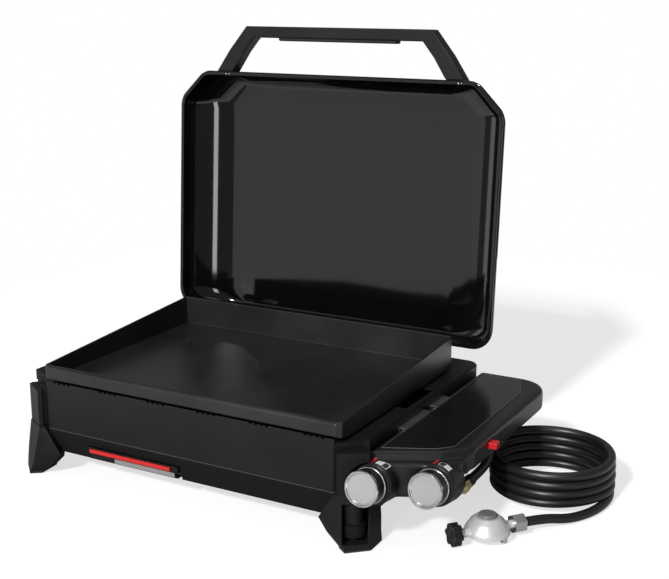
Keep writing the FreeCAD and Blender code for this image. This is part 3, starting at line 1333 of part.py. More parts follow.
upper_hose = [
    spot("inlet_x", "inlet_y + adapter_length", line_z),
    spot("inlet_x", "inlet_y + adapter_length + 46", line_z),
    Vector(431, 238, 81),
    Vector(413, 292, 78),
    Vector(404.5, 344, 75),
]
hose(upper_hose, amount("hose_radius"), "hose_upper")
lower_hose = [
    Vector(597.5, 346, 8),
    Vector(596, 306, 8),
    Vector(583, 268, 8),
    Vector(563.5, 236, 10),
    spot("regulator_x + 101 * cos(regulator_turn)", "regulator_y + 101 * sin(regulator_turn)", "regulator_z"),
    spot("regulator_x + 63 * cos(regulator_turn)", "regulator_y + 63 * sin(regulator_turn)", "regulator_z"),
]
hose(lower_hose, amount("hose_radius"), "hose_lower")
coil = new_body("CoilForm")
revolve(coil, [("coil_radius - hose_radius", "0"), ("coil_radius + hose_radius", "0"),
               ("coil_radius + hose_radius", "coil_height"),
               ("coil_radius - hose_radius", "coil_height")])
finished(coil, "hose_coil", "coil_x", "coil_y")


def on_regulator(thing, label):
    """Local X runs along the regulator from the hand wheel to the hose."""
    turn(thing, (0, 0, 1), "regulator_turn")
    return finished(thing, label, "regulator_x", "regulator_y", "regulator_z")


dome = new_body("DomeForm")
revolve(dome, [("0", "-12"), ("18", "-12"), ("disc_radius - 3", "-6"), ("disc_radius", "-5"), ("disc_radius", "0"),
               ("disc_radius - 2", "4"), ("disc_radius - 8", "14"), ("19", "21"), ("0", "21")])
wheel_start = "-49 - wheel_thick"
spindle = rod("%s + 4" % wheel_start, "0", "0", "4", "wheel_thick + 10", "x")
neck_rod = rod("-49 + run_gap", "0", "0", "7", "96 - run_gap", "x")
vent = rod("20", "-17", "0.3 - regulator_z", "5", "14")
on_regulator(fuse([dome, neck_rod, spindle, vent]), "regulator_body")
regulator_cap = new_body("CapForm")
revolve(regulator_cap, [("0", "21"), ("14.5", "21"), ("14.5", "24"), ("13", "26"), ("0", "26")])
on_regulator(regulator_cap, "regulator_cap")
union = hexagon("nut_flats", "nut_length")
turn(union, (0, 1, 0), "90")
union_nut = cut(move(union, "43"), [rod("30", "0", "0", "7 + fit_gap", "17", "x")])
on_regulator(union_nut, "union_nut")
wheel = [rod(wheel_start, "0", "0", "wheel_radius - 3", "wheel_thick", "x")]
for i in range(6):
    wheel.append(rod(wheel_start, "(wheel_radius - 4) * cos(%d)" % (60 * i + 30),
                     "(wheel_radius - 4) * sin(%d)" % (60 * i + 30), "4", "wheel_thick", "x"))
wheel_bore = rod("%s + 3" % wheel_start, "0", "0", "4 + fit_gap", "60", "x")
on_regulator(cut(fuse(wheel), [wheel_bore]), "regulator_wheel")

# Check and write every piece

doc.recompute()
failed = [thing.Name for thing in doc.Objects if "Invalid" in thing.State or "Error" in thing.State]
if failed:
    raise ValueError("failed: " + ", ".join(failed))
for piece in parts:
    if piece.Shape.isNull() or not piece.Shape.isValid():
        raise ValueError("bad shape: " + piece.Label)
os.makedirs("parts", exist_ok=True)
for piece in parts:
    piece.Shape.exportStep("parts/%s.step" % piece.Label)
print(len(parts), "pieces")
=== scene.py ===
import json
import math

import bmesh
import bpy
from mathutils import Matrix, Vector


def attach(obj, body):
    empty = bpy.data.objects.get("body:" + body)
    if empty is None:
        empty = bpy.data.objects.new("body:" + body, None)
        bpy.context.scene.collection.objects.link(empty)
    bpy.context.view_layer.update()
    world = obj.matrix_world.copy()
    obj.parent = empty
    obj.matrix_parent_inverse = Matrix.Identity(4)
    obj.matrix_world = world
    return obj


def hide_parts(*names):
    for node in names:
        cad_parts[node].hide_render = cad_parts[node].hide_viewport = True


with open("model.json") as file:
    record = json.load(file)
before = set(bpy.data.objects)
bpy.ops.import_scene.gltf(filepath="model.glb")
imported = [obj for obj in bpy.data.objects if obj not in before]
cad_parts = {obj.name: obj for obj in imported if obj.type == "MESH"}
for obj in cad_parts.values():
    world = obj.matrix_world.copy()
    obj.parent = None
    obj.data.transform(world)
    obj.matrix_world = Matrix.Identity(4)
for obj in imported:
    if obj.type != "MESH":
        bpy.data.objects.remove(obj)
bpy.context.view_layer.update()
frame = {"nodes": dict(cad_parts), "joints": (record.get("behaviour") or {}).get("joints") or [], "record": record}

nodes = frame["nodes"]
bodyOf = {}
for bodyName, members in frame["record"]["behaviour"]["bodies"].items():
    for member in members:
        bodyOf[member] = bodyName
slotOf = {row["node"]: row["material_slot"] for row in frame["record"]["subparts"]}

# The cookbox middle and front in this frame, read from the lid hinge
hinge = next(j for j in frame["joints"] if j["name"] == "lid_hinge")["pos_m"]
hingeBehindFront = 0.474
middleX = hinge[0]
frontY = hinge[1] - hingeBehindFront


def spot(x, y, z):  # millimetres from the cookbox front middle
    return Vector((middleX + x / 1000, frontY + y / 1000, z / 1000))


# Editing helpers

def deselect():
    if bpy.context.object and bpy.context.object.mode != "OBJECT":
        bpy.ops.object.mode_set(mode="OBJECT")
    bpy.ops.object.select_all(action="DESELECT")


def pick(piece):
    deselect()
    piece.select_set(True)
    bpy.context.view_layer.objects.active = piece


def applyModifier(piece, kind, **settings):
    pick(piece)
    modifier = piece.modifiers.new(kind.title(), kind)
    for key, value in settings.items():
        setattr(modifier, key, value)
    bpy.ops.object.modifier_apply(modifier=modifier.name)


def smoothByAngle(piece, degrees):
    pick(piece)
    bpy.ops.object.shade_smooth_by_angle(angle=math.radians(degrees))


def settle(piece):  # put the place into the mesh
    pick(piece)
    bpy.ops.object.transform_apply(location=True, rotation=True, scale=True)


def ready(piece, body, material, stands=()):  # finish, body, slot and the nodes that it stands for
    piece.data.materials.clear()
    piece.data.materials.append(material)
    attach(piece, body)
    if stands:
        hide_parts(*stands)


merging = {"distance": 0.00002, "flat": 0.5}


def copyOfNode(node, name):  # a merged copy, so that the node's own mesh stays as it is
    piece = bpy.data.objects.new(name, nodes[node].data.copy())
    bpy.context.scene.collection.objects.link(piece)
    pick(piece)
    bpy.ops.object.mode_set(mode="EDIT")
    bpy.ops.mesh.select_all(action="SELECT")
    bpy.ops.mesh.remove_doubles(threshold=merging["distance"])
    bpy.ops.mesh.dissolve_limited(angle_limit=math.radians(merging["flat"]))
    bpy.ops.object.mode_set(mode="OBJECT")
    return piece


rounding = {"segments": 3, "sharp": 32, "smooth": 40}


def softened(node, name, width, first=None):  # the node with rounded edges
    piece = copyOfNode(node, name)
    if first:
        first(piece)
    applyModifier(piece, "BEVEL", width=width, segments=rounding["segments"], use_clamp_overlap=True,
                  limit_method="ANGLE", angle_limit=math.radians(rounding["sharp"]), miter_outer="MITER_ARC")
    smoothByAngle(piece, rounding["smooth"])
    applyModifier(piece, "WEIGHTED_NORMAL", keep_sharp=True)
    return piece


def chooseFaces(piece, test):  # in edit mode, select the faces whose centre and normal pass the test
    bpy.ops.mesh.select_mode(type="FACE")
    bpy.ops.mesh.select_all(action="DESELECT")
    mesh = bmesh.from_edit_mesh(piece.data)
    for face in mesh.faces:
        centre = face.calc_center_median()
        face.select = bool(test(centre, face.normal))
    mesh.select_flush_mode()
    bmesh.update_edit_mesh(piece.data)


def chooseCorners(piece, test):  # in edit mode, select the vertices whose place passes the test
    bpy.ops.mesh.select_mode(type="VERT")
    bpy.ops.mesh.select_all(action="DESELECT")
    mesh = bmesh.from_edit_mesh(piece.data)
    for corner in mesh.verts:
        corner.select = bool(test(corner.co))
    mesh.select_flush_mode()
    bmesh.update_edit_mesh(piece.data)


def join(pieces, name):
    deselect()
    for piece in pieces:
        piece.select_set(True)
    bpy.context.view_layer.objects.active = pieces[0]
    bpy.ops.object.join()
    pieces[0].name = name
    return pieces[0]


def bead(name, places, thick, rings=3):  # a round bead along a closed path, as a mesh
    curve = bpy.data.curves.new(name, "CURVE")
    curve.dimensions = "3D"
    curve.bevel_depth = thick
    curve.bevel_resolution = rings
    path = curve.splines.new("POLY")
    path.points.add(len(places) - 1)
    for point, place in zip(path.points, places):
        point.co = (*place, 1)
    path.use_cyclic_u = True
    piece = bpy.data.objects.new(name, curve)
    bpy.context.scene.collection.objects.link(piece)
    pick(piece)
    bpy.ops.object.convert(target="MESH")
    smoothByAngle(piece, 60)
    return piece


# Camera, from the right front

camera = {"place": (1.016211, -1.737600, 0.817344), "yaw": 0.5131273, "pitch": 0.2502553,
          "sensor": 36, "focalPixels": 1200.05, "imageWidth": 669,
          "shiftX": 0.02228, "shiftY": 0.005756, "near": 0.05, "far": 30}
cameraData = bpy.data.cameras.new("Camera")
cameraObject = bpy.data.objects.new("Camera", cameraData)
bpy.context.scene.collection.objects.link(cameraObject)
cameraObject.location = camera["place"]
cameraObject.rotation_euler = (math.pi / 2 - camera["pitch"], 0, camera["yaw"])
cameraData.sensor_width = camera["sensor"]
cameraData.lens = camera["sensor"] * camera["focalPixels"] / camera["imageWidth"]
cameraData.shift_x = camera["shiftX"]
cameraData.shift_y = camera["shiftY"]
cameraData.clip_start = camera["near"]
cameraData.clip_end = camera["far"]
bpy.context.scene.camera = cameraObject
bpy.context.scene.view_settings.view_transform = "Standard"
print("camera ready")

# Finishes

def newGroup(name, inputs, outputs):
    group = bpy.data.node_groups.new(name, "ShaderNodeTree")
    for label, kind, value in inputs:
        socket = group.interface.new_socket(label, in_out="INPUT", socket_type=kind)
        if value is not None:
            socket.default_value = value
    for label, kind in outputs:
        group.interface.new_socket(label, in_out="OUTPUT", socket_type=kind)
    start = group.nodes.new("NodeGroupInput")
    end = group.nodes.new("NodeGroupOutput")
    return group, start, end


def link(tree, start, end):
    tree.links.new(start, end)


def moulded():  # fine moulded or sprayed grain: a height and a roughness
    group, start, end = newGroup("MouldedGrain", [
        ("Vector", "NodeSocketVector", None), ("Size", "NodeSocketFloat", 900.0),
        ("Rough", "NodeSocketFloat", 0.5), ("Spread", "NodeSocketFloat", 0.08)],
        [("Height", "NodeSocketFloat"), ("Roughness", "NodeSocketFloat"), ("Mottle", "NodeSocketFloat")])
    fine = group.nodes.new("ShaderNodeTexNoise")
    fine.inputs["Detail"].default_value = 3
    link(group, start.outputs["Vector"], fine.inputs["Vector"])
    link(group, start.outputs["Size"], fine.inputs["Scale"])
    broad = group.nodes.new("ShaderNodeTexNoise")
    broad.inputs["Scale"].default_value = 9
    broad.inputs["Detail"].default_value = 4
    link(group, start.outputs["Vector"], broad.inputs["Vector"])
    half = group.nodes.new("ShaderNodeMath")
    half.operation = "SUBTRACT"
    half.inputs[1].default_value = 0.5
    link(group, broad.outputs["Fac"], half.inputs[0])
    spread = group.nodes.new("ShaderNodeMath")
    spread.operation = "MULTIPLY_ADD"
    link(group, half.outputs[0], spread.inputs[0])
    link(group, start.outputs["Spread"], spread.inputs[1])
    link(group, start.outputs["Rough"], spread.inputs[2])
    link(group, fine.outputs["Fac"], end.inputs["Height"])
    link(group, spread.outputs[0], end.inputs["Roughness"])
    link(group, broad.outputs["Fac"], end.inputs["Mottle"])
    return group


grainGroup = moulded()
rampEnds = {"dark": 0.3, "light": 0.7}
grainHeight = 0.0004


def grainMaterial(name, dark, light, rough, spread=0.08, size=900.0, bump=0.05, metallic=0.0, specular=0.5):
    material = bpy.data.materials.new(name)
    material.use_nodes = True
    tree = material.node_tree
    shader = tree.nodes["Principled BSDF"]
    place = tree.nodes.new("ShaderNodeTexCoord")
    grain = tree.nodes.new("ShaderNodeGroup")
    grain.node_tree = grainGroup
    grain.inputs["Size"].default_value = size
    grain.inputs["Rough"].default_value = rough
    grain.inputs["Spread"].default_value = spread
    link(tree, place.outputs["Object"], grain.inputs["Vector"])
    ramp = tree.nodes.new("ShaderNodeValToRGB")
    ramp.color_ramp.elements[0].position = rampEnds["dark"]
    ramp.color_ramp.elements[0].color = (*dark, 1)
    ramp.color_ramp.elements[1].position = rampEnds["light"]
    ramp.color_ramp.elements[1].color = (*light, 1)
    link(tree, grain.outputs["Mottle"], ramp.inputs["Fac"])
    link(tree, ramp.outputs["Color"], shader.inputs["Base Color"])
    link(tree, grain.outputs["Roughness"], shader.inputs["Roughness"])
    lift = tree.nodes.new("ShaderNodeBump")
    lift.inputs["Strength"].default_value = bump
    lift.inputs["Distance"].default_value = grainHeight
    link(tree, grain.outputs["Height"], lift.inputs["Height"])
    link(tree, lift.outputs["Normal"], shader.inputs["Normal"])
    shader.inputs["Metallic"].default_value = metallic
    shader.inputs["Specular IOR Level"].default_value = specular
    return material


def grey(value):
    return (value, value, value)


finish = {
    "box_black": grainMaterial("BoxSatin", grey(0.006), grey(0.009), 0.40, bump=0.05, size=1500,
                               specular=0.24),
    "plate_steel": grainMaterial("SeasonedSteel", grey(0.014), grey(0.026), 0.34, spread=0.25, size=300,
                                 bump=0.10, metallic=0.35),
    "sheet_steel": grainMaterial("PlainSteel", grey(0.42), grey(0.5), 0.38, metallic=1.0, bump=0.02),
    "bright_steel": grainMaterial("BrightSteel", grey(0.55), grey(0.65), 0.28, metallic=1.0, bump=0.01),
    "lid_enamel": grainMaterial("LidEnamel", grey(0.0018), grey(0.003), 0.07, spread=0.03, size=60,
                                bump=0.004, specular=0.5),
    "handle_black": grainMaterial("HandleMatt", grey(0.008), grey(0.012), 0.50, bump=0.12, size=1200,
                                  specular=0.2),
    "grip_black": grainMaterial("GripRubber", grey(0.010), grey(0.014), 0.6, bump=0.1, specular=0.3),
    "leg_plastic": grainMaterial("LegPlastic", grey(0.006), grey(0.009), 0.48, bump=0.1, size=1400,
                                 specular=0.16),
    "table_plastic": grainMaterial("TablePlastic", grey(0.008), grey(0.012), 0.36, bump=0.1, size=1400,
                                   specular=0.3),
    "table_gloss": grainMaterial("TableGloss", grey(0.006), grey(0.009), 0.14, spread=0.05, bump=0.01),
    "rubber_black": grainMaterial("PadRubber", grey(0.014), grey(0.020), 0.7, bump=0.1),
    "knob_black": grainMaterial("KnobBlack", grey(0.008), grey(0.012), 0.26, bump=0.05, specular=0.35),
    "chrome": grainMaterial("CapChrome", grey(0.54), grey(0.60), 0.2, spread=0.06, metallic=1.0, bump=0.01),
    "brass_plain": grainMaterial("PlainBrass", (0.52, 0.42, 0.18), (0.62, 0.52, 0.26), 0.3, metallic=1.0,
                                 bump=0.02),
    "gas_aluminium": grainMaterial("PanAluminium", grey(0.62), grey(0.72), 0.32, metallic=1.0, bump=0.04),
    "button_red": grainMaterial("ButtonRed", (0.50, 0.012, 0.012), (0.58, 0.02, 0.018), 0.3, bump=0.02),
    "hose_rubber": grainMaterial("HoseRubber", grey(0.006), grey(0.010), 0.38, bump=0.06, size=700),
    "regulator_grey": grainMaterial("RegulatorCast", grey(0.66), grey(0.80), 0.28, spread=0.15, metallic=0.5,
                                    bump=0.10, size=500),
    "mark_white": grainMaterial("MarkWhite", grey(0.70), grey(0.78), 0.5, bump=0.02),
    "mark_dark": grainMaterial("MarkDark", grey(0.02), grey(0.03), 0.5, bump=0.02),
    "trim_grey": grainMaterial("TrimGrey", grey(0.10), grey(0.14), 0.3, bump=0.02),
    "regulator_cap_grey": grainMaterial("CapGrey", grey(0.12), grey(0.16), 0.45, bump=0.06),
}
# The front panel's bend: painted shade on the tucked part below it and a painted highlight along it, standing in
# for how the tuck and the bend catch the light
panelBend = {"height": 0.083, "clear": 0.0006, "blend": 0.001, "lineHalf": 0.0007,
             "tuckPaint": 0.001, "linePaint": 0.05, "dull": 0.4}


def mixColours(tree, mask, under, over):  # a fixed paint over another colour, where the mask says
    mix = tree.nodes.new("ShaderNodeMix")
    mix.data_type = "RGBA"
    link(tree, mask, mix.inputs["Factor"])
    link(tree, under, mix.inputs["A"])
    mix.inputs["B"].default_value = (*over, 1)
    return mix.outputs["Result"]


def paintBendShadeAndHighlight(material):  # painted shade below the bend of the front panel (near-black colour and a rougher finish), and a painted highlight along the bend line
    tree = material.node_tree
    shader = tree.nodes["Principled BSDF"]
    paint = shader.inputs["Base Color"].links[0].from_socket
    rough = shader.inputs["Roughness"].links[0].from_socket
    place = tree.nodes.new("ShaderNodeTexCoord")
    parts = tree.nodes.new("ShaderNodeSeparateXYZ")
    link(tree, place.outputs["Object"], parts.inputs[0])
    below = tree.nodes.new("ShaderNodeMapRange")
    below.inputs["From Min"].default_value = panelBend["height"] - panelBend["clear"]
    below.inputs["From Max"].default_value = panelBend["height"] - panelBend["clear"] - panelBend["blend"]
    link(tree, parts.outputs["Z"], below.inputs["Value"])
    atBend = tree.nodes.new("ShaderNodeMath")
    atBend.operation = "COMPARE"
    atBend.inputs[1].default_value = panelBend["height"]
    atBend.inputs[2].default_value = panelBend["lineHalf"]
    link(tree, parts.outputs["Z"], atBend.inputs[0])
    # painted shade: the tucked part below the bend gets a near-black colour
    shade = mixColours(tree, below.outputs["Result"], paint, grey(panelBend["tuckPaint"]))
    # painted highlight: a thin paler line along the bend
    paintedBendLine = mixColours(tree, atBend.outputs[0], shade, grey(panelBend["linePaint"]))
    link(tree, paintedBendLine, shader.inputs["Base Color"])
    dull = tree.nodes.new("ShaderNodeMath")
    dull.operation = "MULTIPLY_ADD"
    dull.inputs[1].default_value = panelBend["dull"]
    link(tree, below.outputs["Result"], dull.inputs[0])
    link(tree, rough, dull.inputs[2])
    link(tree, dull.outputs[0], shader.inputs["Roughness"])
    return material


# the cookbox finish carries the painted shade below the bend and the painted highlight along it
cookboxShadedFinish = paintBendShadeAndHighlight(grainMaterial("CookboxSatin", grey(0.006), grey(0.009), 0.40, bump=0.05, size=1500,
                                        specular=0.24))
print("finishes ready")

# Gas hose: inlet, standing coil, regulator

hose = {"radius": 0.0075, "inlet": (440, 144, 84.9), "coil": (501.0, 352.0), "ring": 96.8, "turns": 4.5,
        "perTurn": 14, "pitch": 15.0, "lowest": 7.6, "waver": 1.2, "waverStep": 1.7}
regulator = {"middle": (476, 127), "height": 18.3, "turn": 50.9, "hoseEnd": 63, "hoseBend": 101}
regulatorTurn = math.radians(regulator["turn"])


def alongRegulator(away):  # a place on the regulator's axis, so far from its middle towards the hose
    return (regulator["middle"][0] + away * math.cos(regulatorTurn),
            regulator["middle"][1] + away * math.sin(regulatorTurn), regulator["height"])


hosePoints = [hose["inlet"], (440, 190, 84.9), (431, 238, 81), (413, 292, 78)]
coilCount = int(hose["turns"] * hose["perTurn"])
for i in range(coilCount + 1):
    left = hose["turns"] - i / hose["perTurn"]
    angle = math.pi - 2 * math.pi * i / hose["perTurn"]
    waver = hose["waver"] * math.sin(hose["waverStep"] * i)
    ring = (hose["ring"] + waver) / math.cos(math.pi / hose["perTurn"]) ** 0.5
    hosePoints.append((hose["coil"][0] + ring * math.cos(angle), hose["coil"][1] + ring * math.sin(angle),
                       hose["lowest"] + hose["pitch"] * left))
hosePoints += [(596, 306, 8), (583, 268, 8), (563.5, 236, 10)]
hosePoints += [alongRegulator(regulator["hoseBend"]), alongRegulator(regulator["hoseEnd"])]
hoseCurve = bpy.data.curves.new("gasHose", "CURVE")
hoseCurve.dimensions = "3D"
hoseCurve.bevel_depth = hose["radius"]
hoseCurve.bevel_resolution = 6
hoseCurve.resolution_u = 8
hoseCurve.use_fill_caps = True
hoseLine = hoseCurve.splines.new("NURBS")
hoseLine.points.add(len(hosePoints) - 1)
for point, place in zip(hoseLine.points, hosePoints):
    point.co = (*spot(*place), 1)
hoseLine.order_u = 3
hoseLine.use_endpoint_u = True
gasHose = bpy.data.objects.new("gasHose", hoseCurve)
bpy.context.scene.collection.objects.link(gasHose)
ready(gasHose, "station", finish["hose_rubber"], ("hose_upper", "hose_coil", "hose_lower"))
print("hose ready")

# The lid, drawn closed about its hinge axis and swung open

lid = {"half": 0.3355, "front": -0.4769, "back": -0.0084, "low": -0.0044, "high": 0.0752,
       "side": 0.070, "shoulder": 0.105, "end": 0.034, "rear": 0.006, "steps": 16,
       "chamfer": 0.054, "chamferRound": 0.012, "corner": 0.036, "sheet": 0.0015, "open": 93.5}


def swingOpen(piece):
    settle(piece)
    piece.rotation_euler = (-math.radians(lid["open"]), 0, 0)
    piece.location = hinge
    settle(piece)


def lidOutline(piece, half, front, back, low, cutOff):  # front corners cut off, rear corners round
    middle = (front + back) / 2
    pick(piece)
    bpy.ops.object.mode_set(mode="EDIT")
    bpy.ops.mesh.select_all(action="SELECT")
    bpy.ops.transform.resize(value=(half * 2, front - back, 1), center_override=(0, 0, 0))
    bpy.ops.transform.translate(value=(0, middle, low))
    chooseCorners(piece, lambda co: co.y < middle)
    bpy.ops.mesh.bevel(offset=cutOff, segments=1, affect="VERTICES")
    chooseCorners(piece, lambda co: co.y < middle)
    bpy.ops.mesh.bevel(offset=lid["chamferRound"], segments=4, affect="VERTICES")
    chooseCorners(piece, lambda co: co.y > middle)
    bpy.ops.mesh.bevel(offset=lid["corner"], segments=8, affect="VERTICES")


def shoulderInset(height, radius):
    rise = max(0.0, height - (lid["high"] - radius))
    return radius - math.sqrt(max(0.0, radius ** 2 - rise ** 2))


bpy.ops.mesh.primitive_plane_add(size=1, location=(0, 0, 0))
lidShell = bpy.context.object
lidShell.name = "LidShell"
lidOutline(lidShell, lid["half"], lid["front"], lid["back"], lid["low"], lid["chamfer"])
bpy.ops.mesh.select_all(action="SELECT")
bpy.ops.mesh.flip_normals()
sideNow, frontNow, backNow, heightNow = lid["half"], lid["front"], lid["back"], lid["low"]
for i in range(lid["steps"] + 1):
    turned = math.pi / 2 * i / lid["steps"]
    height = lid["high"] - lid["side"] + lid["side"] * math.sin(turned)
    sideNext = lid["half"] - lid["shoulder"] * (1 - math.cos(turned))
    frontNext = lid["front"] + shoulderInset(height, lid["end"])
    backNext = lid["back"] - shoulderInset(height, lid["rear"])
    shrink = (backNext - frontNext) / (backNow - frontNow)
    fixedY = (backNext - shrink * backNow) / (1 - shrink) if shrink < 0.999999 else 0
    bpy.ops.mesh.extrude_region_move(TRANSFORM_OT_translate={"value": (0, 0, height - heightNow)})
    bpy.ops.transform.resize(value=(sideNext / sideNow, shrink, 1), center_override=(0, fixedY, 0))
    sideNow, frontNow, backNow, heightNow = sideNext, frontNext, backNext, height
chooseFaces(lidShell, lambda centre, normal: abs(centre.z - lid["low"]) < 0.0001)
bpy.ops.mesh.delete(type="FACE")
bpy.ops.mesh.select_all(action="SELECT")
bpy.ops.mesh.normals_make_consistent(inside=False)
applyModifier(lidShell, "SOLIDIFY", thickness=lid["sheet"], offset=-1)
smoothByAngle(lidShell, 50)


rim = {"half": 0.340, "front": -0.4814, "back": -0.0069, "outer": 0.0030, "outerHeight": -0.0014,
       "innerInset": 0.0066, "inner": 0.0010, "innerHeight": -0.0034, "top": 0.0018, "topHeight": 0.0018,
       "cutShare": 0.586}  # a cut-off corner gets shorter by this share of the inset


def rimPath(inset, height):
    bpy.ops.mesh.primitive_plane_add(size=1, location=(0, 0, 0))
    guide = bpy.context.object
    lidOutline(guide, rim["half"] - inset, rim["front"] + inset, rim["back"] - inset, height,
               lid["chamfer"] - rim["cutShare"] * inset)
    bpy.ops.object.mode_set(mode="OBJECT")
    face = guide.data.polygons[0]
    places = [guide.data.vertices[i].co.copy() for i in face.vertices]
    bpy.data.objects.remove(guide)
    return places


lidRim = join([bead("RimOuter", rimPath(rim["outer"], rim["outerHeight"]), rim["outer"], rings=4),
               bead("RimInner", rimPath(rim["innerInset"], rim["innerHeight"]), rim["inner"]),
               bead("RimTop", rimPath(rim["outer"], rim["topHeight"]), rim["top"])], "LidRim")
lidBody = join([lidShell, lidRim], "LidShell")
swingOpen(lidBody)
ready(lidBody, "lid", finish["lid_enamel"], ("lid_shell",))
print("lid ready")

# Bright screw ends on the rolled rim

screws = {"across": (-233, -226, 251, 257), "back": 498.8, "height": 654, "radius": 0.0016}
for x in screws["across"]:
    bpy.ops.mesh.primitive_uv_sphere_add(segments=16, ring_count=8, radius=screws["radius"],
                                         location=spot(x, screws["back"], screws["height"]))
    screwEnd = bpy.context.object
    screwEnd.name = "ScrewEnd"
    settle(screwEnd)
    smoothByAngle(screwEnd, 60)
    ready(screwEnd, "lid", finish["bright_steel"])

# The ribbed grip under the crossbar of the handle

grip = {"half": 0.122, "ribs": 41, "rib": (0.0032, 0.0016, 0.0215), "ribRound": 0.0007, "endGap": 0.003,
        "back": -0.5418, "height": 0.0156, "round": 0.0006}
gripBase = softened("handle_grip", "HandleGrip", grip["round"])
bpy.ops.mesh.primitive_cube_add(size=1, location=(0, 0, 0))
rib = bpy.context.object
bpy.ops.transform.resize(value=grip["rib"])
settle(rib)
applyModifier(rib, "BEVEL", width=grip["ribRound"], segments=2, limit_method="ANGLE")
applyModifier(rib, "ARRAY", count=grip["ribs"], use_relative_offset=False, use_constant_offset=True,
              constant_offset_displace=(2 * (grip["half"] - grip["endGap"]) / (grip["ribs"] - 1), 0, 0))
rib.location = (-grip["half"] + grip["endGap"], grip["back"], grip["height"])
settle(rib)
swingOpen(rib)
smoothByAngle(rib, 40)
gripBody = join([gripBase, rib], "HandleGrip")
ready(gripBody, "lid", finish["grip_black"], ("handle_grip",))
print("grip ready")

# Knurled ring on the levelling stud

knurl = {"place": (304, 16, 27), "radius": 0.0192, "high": 0.0194, "teeth": 72, "gap": 0.00025,
         "tooth": 0.0007, "edge": 0.002, "crown": 0.0003}
bpy.ops.mesh.primitive_cylinder_add(vertices=knurl["teeth"], radius=knurl["radius"], depth=knurl["high"],
                                    location=(0, 0, 0))
knurled = bpy.context.object
pick(knurled)
bpy.ops.object.mode_set(mode="EDIT")
chooseFaces(knurled, lambda centre, normal: abs(normal.z) < 0.5)
bpy.ops.mesh.inset(thickness=knurl["gap"], depth=knurl["tooth"], use_individual=True)
for end in (1, -1):
    chooseFaces(knurled, lambda centre, normal: end * normal.z > 0.9)
    bpy.ops.mesh.inset(thickness=knurl["edge"])
    bpy.ops.transform.translate(value=(0, 0, end * knurl["crown"]))
bpy.ops.object.mode_set(mode="OBJECT")
knurled.location = spot(*knurl["place"])
settle(knurled)
knurled.name = "KnurledRing"
smoothByAngle(knurled, 30)
ready(knurled, "ring", finish["leg_plastic"], ("levelling_ring",))
print("ring ready")

# Table and control pod as one moulded piece

tableForm = {"voxel": 0.0017, "smooth": 0.6, "rounds": 26}
form = join([copyOfNode("side_table", "TableForm"), copyOfNode("control_pod", "PodForm")], "TableAndPod")
applyModifier(form, "REMESH", mode="VOXEL", voxel_size=tableForm["voxel"])
applyModifier(form, "SMOOTH", factor=tableForm["smooth"], iterations=tableForm["rounds"])
smoothByAngle(form, 70)
ready(form, "station", finish["table_plastic"], ("side_table", "control_pod"))
print("table ready", len(form.data.polygons))

# Lobed hand wheel of the regulator

wheel = {"radius": 0.018, "thick": 0.014, "lobes": 6, "along": -56.0, "hollow": 0.945,
         "bands": (0.5, 0.0, -0.5, -0.85), "edge": 0.003, "groove": 0.0015, "round": 0.0012}
bpy.ops.mesh.primitive_cylinder_add(vertices=72, radius=wheel["radius"], depth=wheel["thick"],
                                    location=(0, 0, 0))
handWheel = bpy.context.object
handWheel.name = "HandWheel"
pick(handWheel)
bpy.ops.object.mode_set(mode="EDIT")
for band in wheel["bands"]:  # each band pulls the hollows between the lobes a little further in
    chooseCorners(handWheel, lambda co: math.cos(wheel["lobes"] * math.atan2(co.y, co.x)) < band)
    bpy.ops.transform.resize(value=(wheel["hollow"], wheel["hollow"], 1), center_override=(0, 0, 0))
chooseFaces(handWheel, lambda centre, normal: normal.z < -0.9)
bpy.ops.mesh.inset(thickness=wheel["edge"])
bpy.ops.mesh.inset(thickness=wheel["groove"], depth=-wheel["groove"])
bpy.ops.object.mode_set(mode="OBJECT")
applyModifier(handWheel, "BEVEL", width=wheel["round"], segments=3, limit_method="ANGLE",
              angle_limit=math.radians(50))
smoothByAngle(handWheel, 45)
handWheel.rotation_euler = (math.pi / 2, 0, regulatorTurn + math.pi / 2)
handWheel.location = spot(*alongRegulator(wheel["along"]))
settle(handWheel)
ready(handWheel, "hand_wheel", finish["knob_black"], ("regulator_wheel",))
print("hand wheel ready")

# Burner marks on top of the two bosses

marks = {"radius": 0.0360, "height": 104.7, "tilt": 82, "paint": 0.0004, "overPaint": 0.0007,
         "left": (336, 10.7), "right": (419, 51), "red": (-12, -4, 2, 21), "frame": (4, 38, 2, 17),
         "darkLeft": (22, 36, 3.2, 15.8), "darkRight": (6, 20, 3.2, 15.8)}  # two angles, then two depths


def bossPatch(name, side, reach, lift, material):
    fromAngle, toAngle, fromDepth, toDepth = reach
    bpy.ops.mesh.primitive_cylinder_add(vertices=360, radius=marks["radius"] + lift, end_fill_type="NOTHING",
                                        depth=(toDepth - fromDepth) / 1000, location=(0, 0, 0))
    patch = bpy.context.object
    patch.name = name
    pick(patch)
    bpy.ops.object.mode_set(mode="EDIT")

    def outside(centre, normal):
        angle = math.degrees(math.atan2(centre.x, centre.y))
        return angle < fromAngle or angle > toAngle

    chooseFaces(patch, outside)
    bpy.ops.mesh.delete(type="FACE")
    bpy.ops.mesh.select_all(action="SELECT")
    bpy.ops.mesh.subdivide(number_cuts=5)
    bpy.ops.object.mode_set(mode="OBJECT")
    patch.location = (0, 0, -(fromDepth + toDepth) / 2000)
    settle(patch)
    patch.rotation_euler = (math.radians(marks["tilt"]), 0, 0)
    patch.location = spot(*marks[side], marks["height"])
    settle(patch)
    applyModifier(patch, "SHRINKWRAP", target=form, wrap_method="NEAREST_SURFACEPOINT",
                  wrap_mode="ABOVE_SURFACE", offset=lift)
    smoothByAngle(patch, 60)
    ready(patch, "station", material)


for side in ("left", "right"):
    bossPatch("MarkRed" + side, side, marks["red"], marks["paint"], finish["button_red"])
    bossPatch("MarkFrame" + side, side, marks["frame"], marks["paint"], finish["mark_white"])
    bossPatch("MarkDark" + side, side, marks["dark" + side.title()], marks["overPaint"], finish["mark_dark"])
print("marks ready")
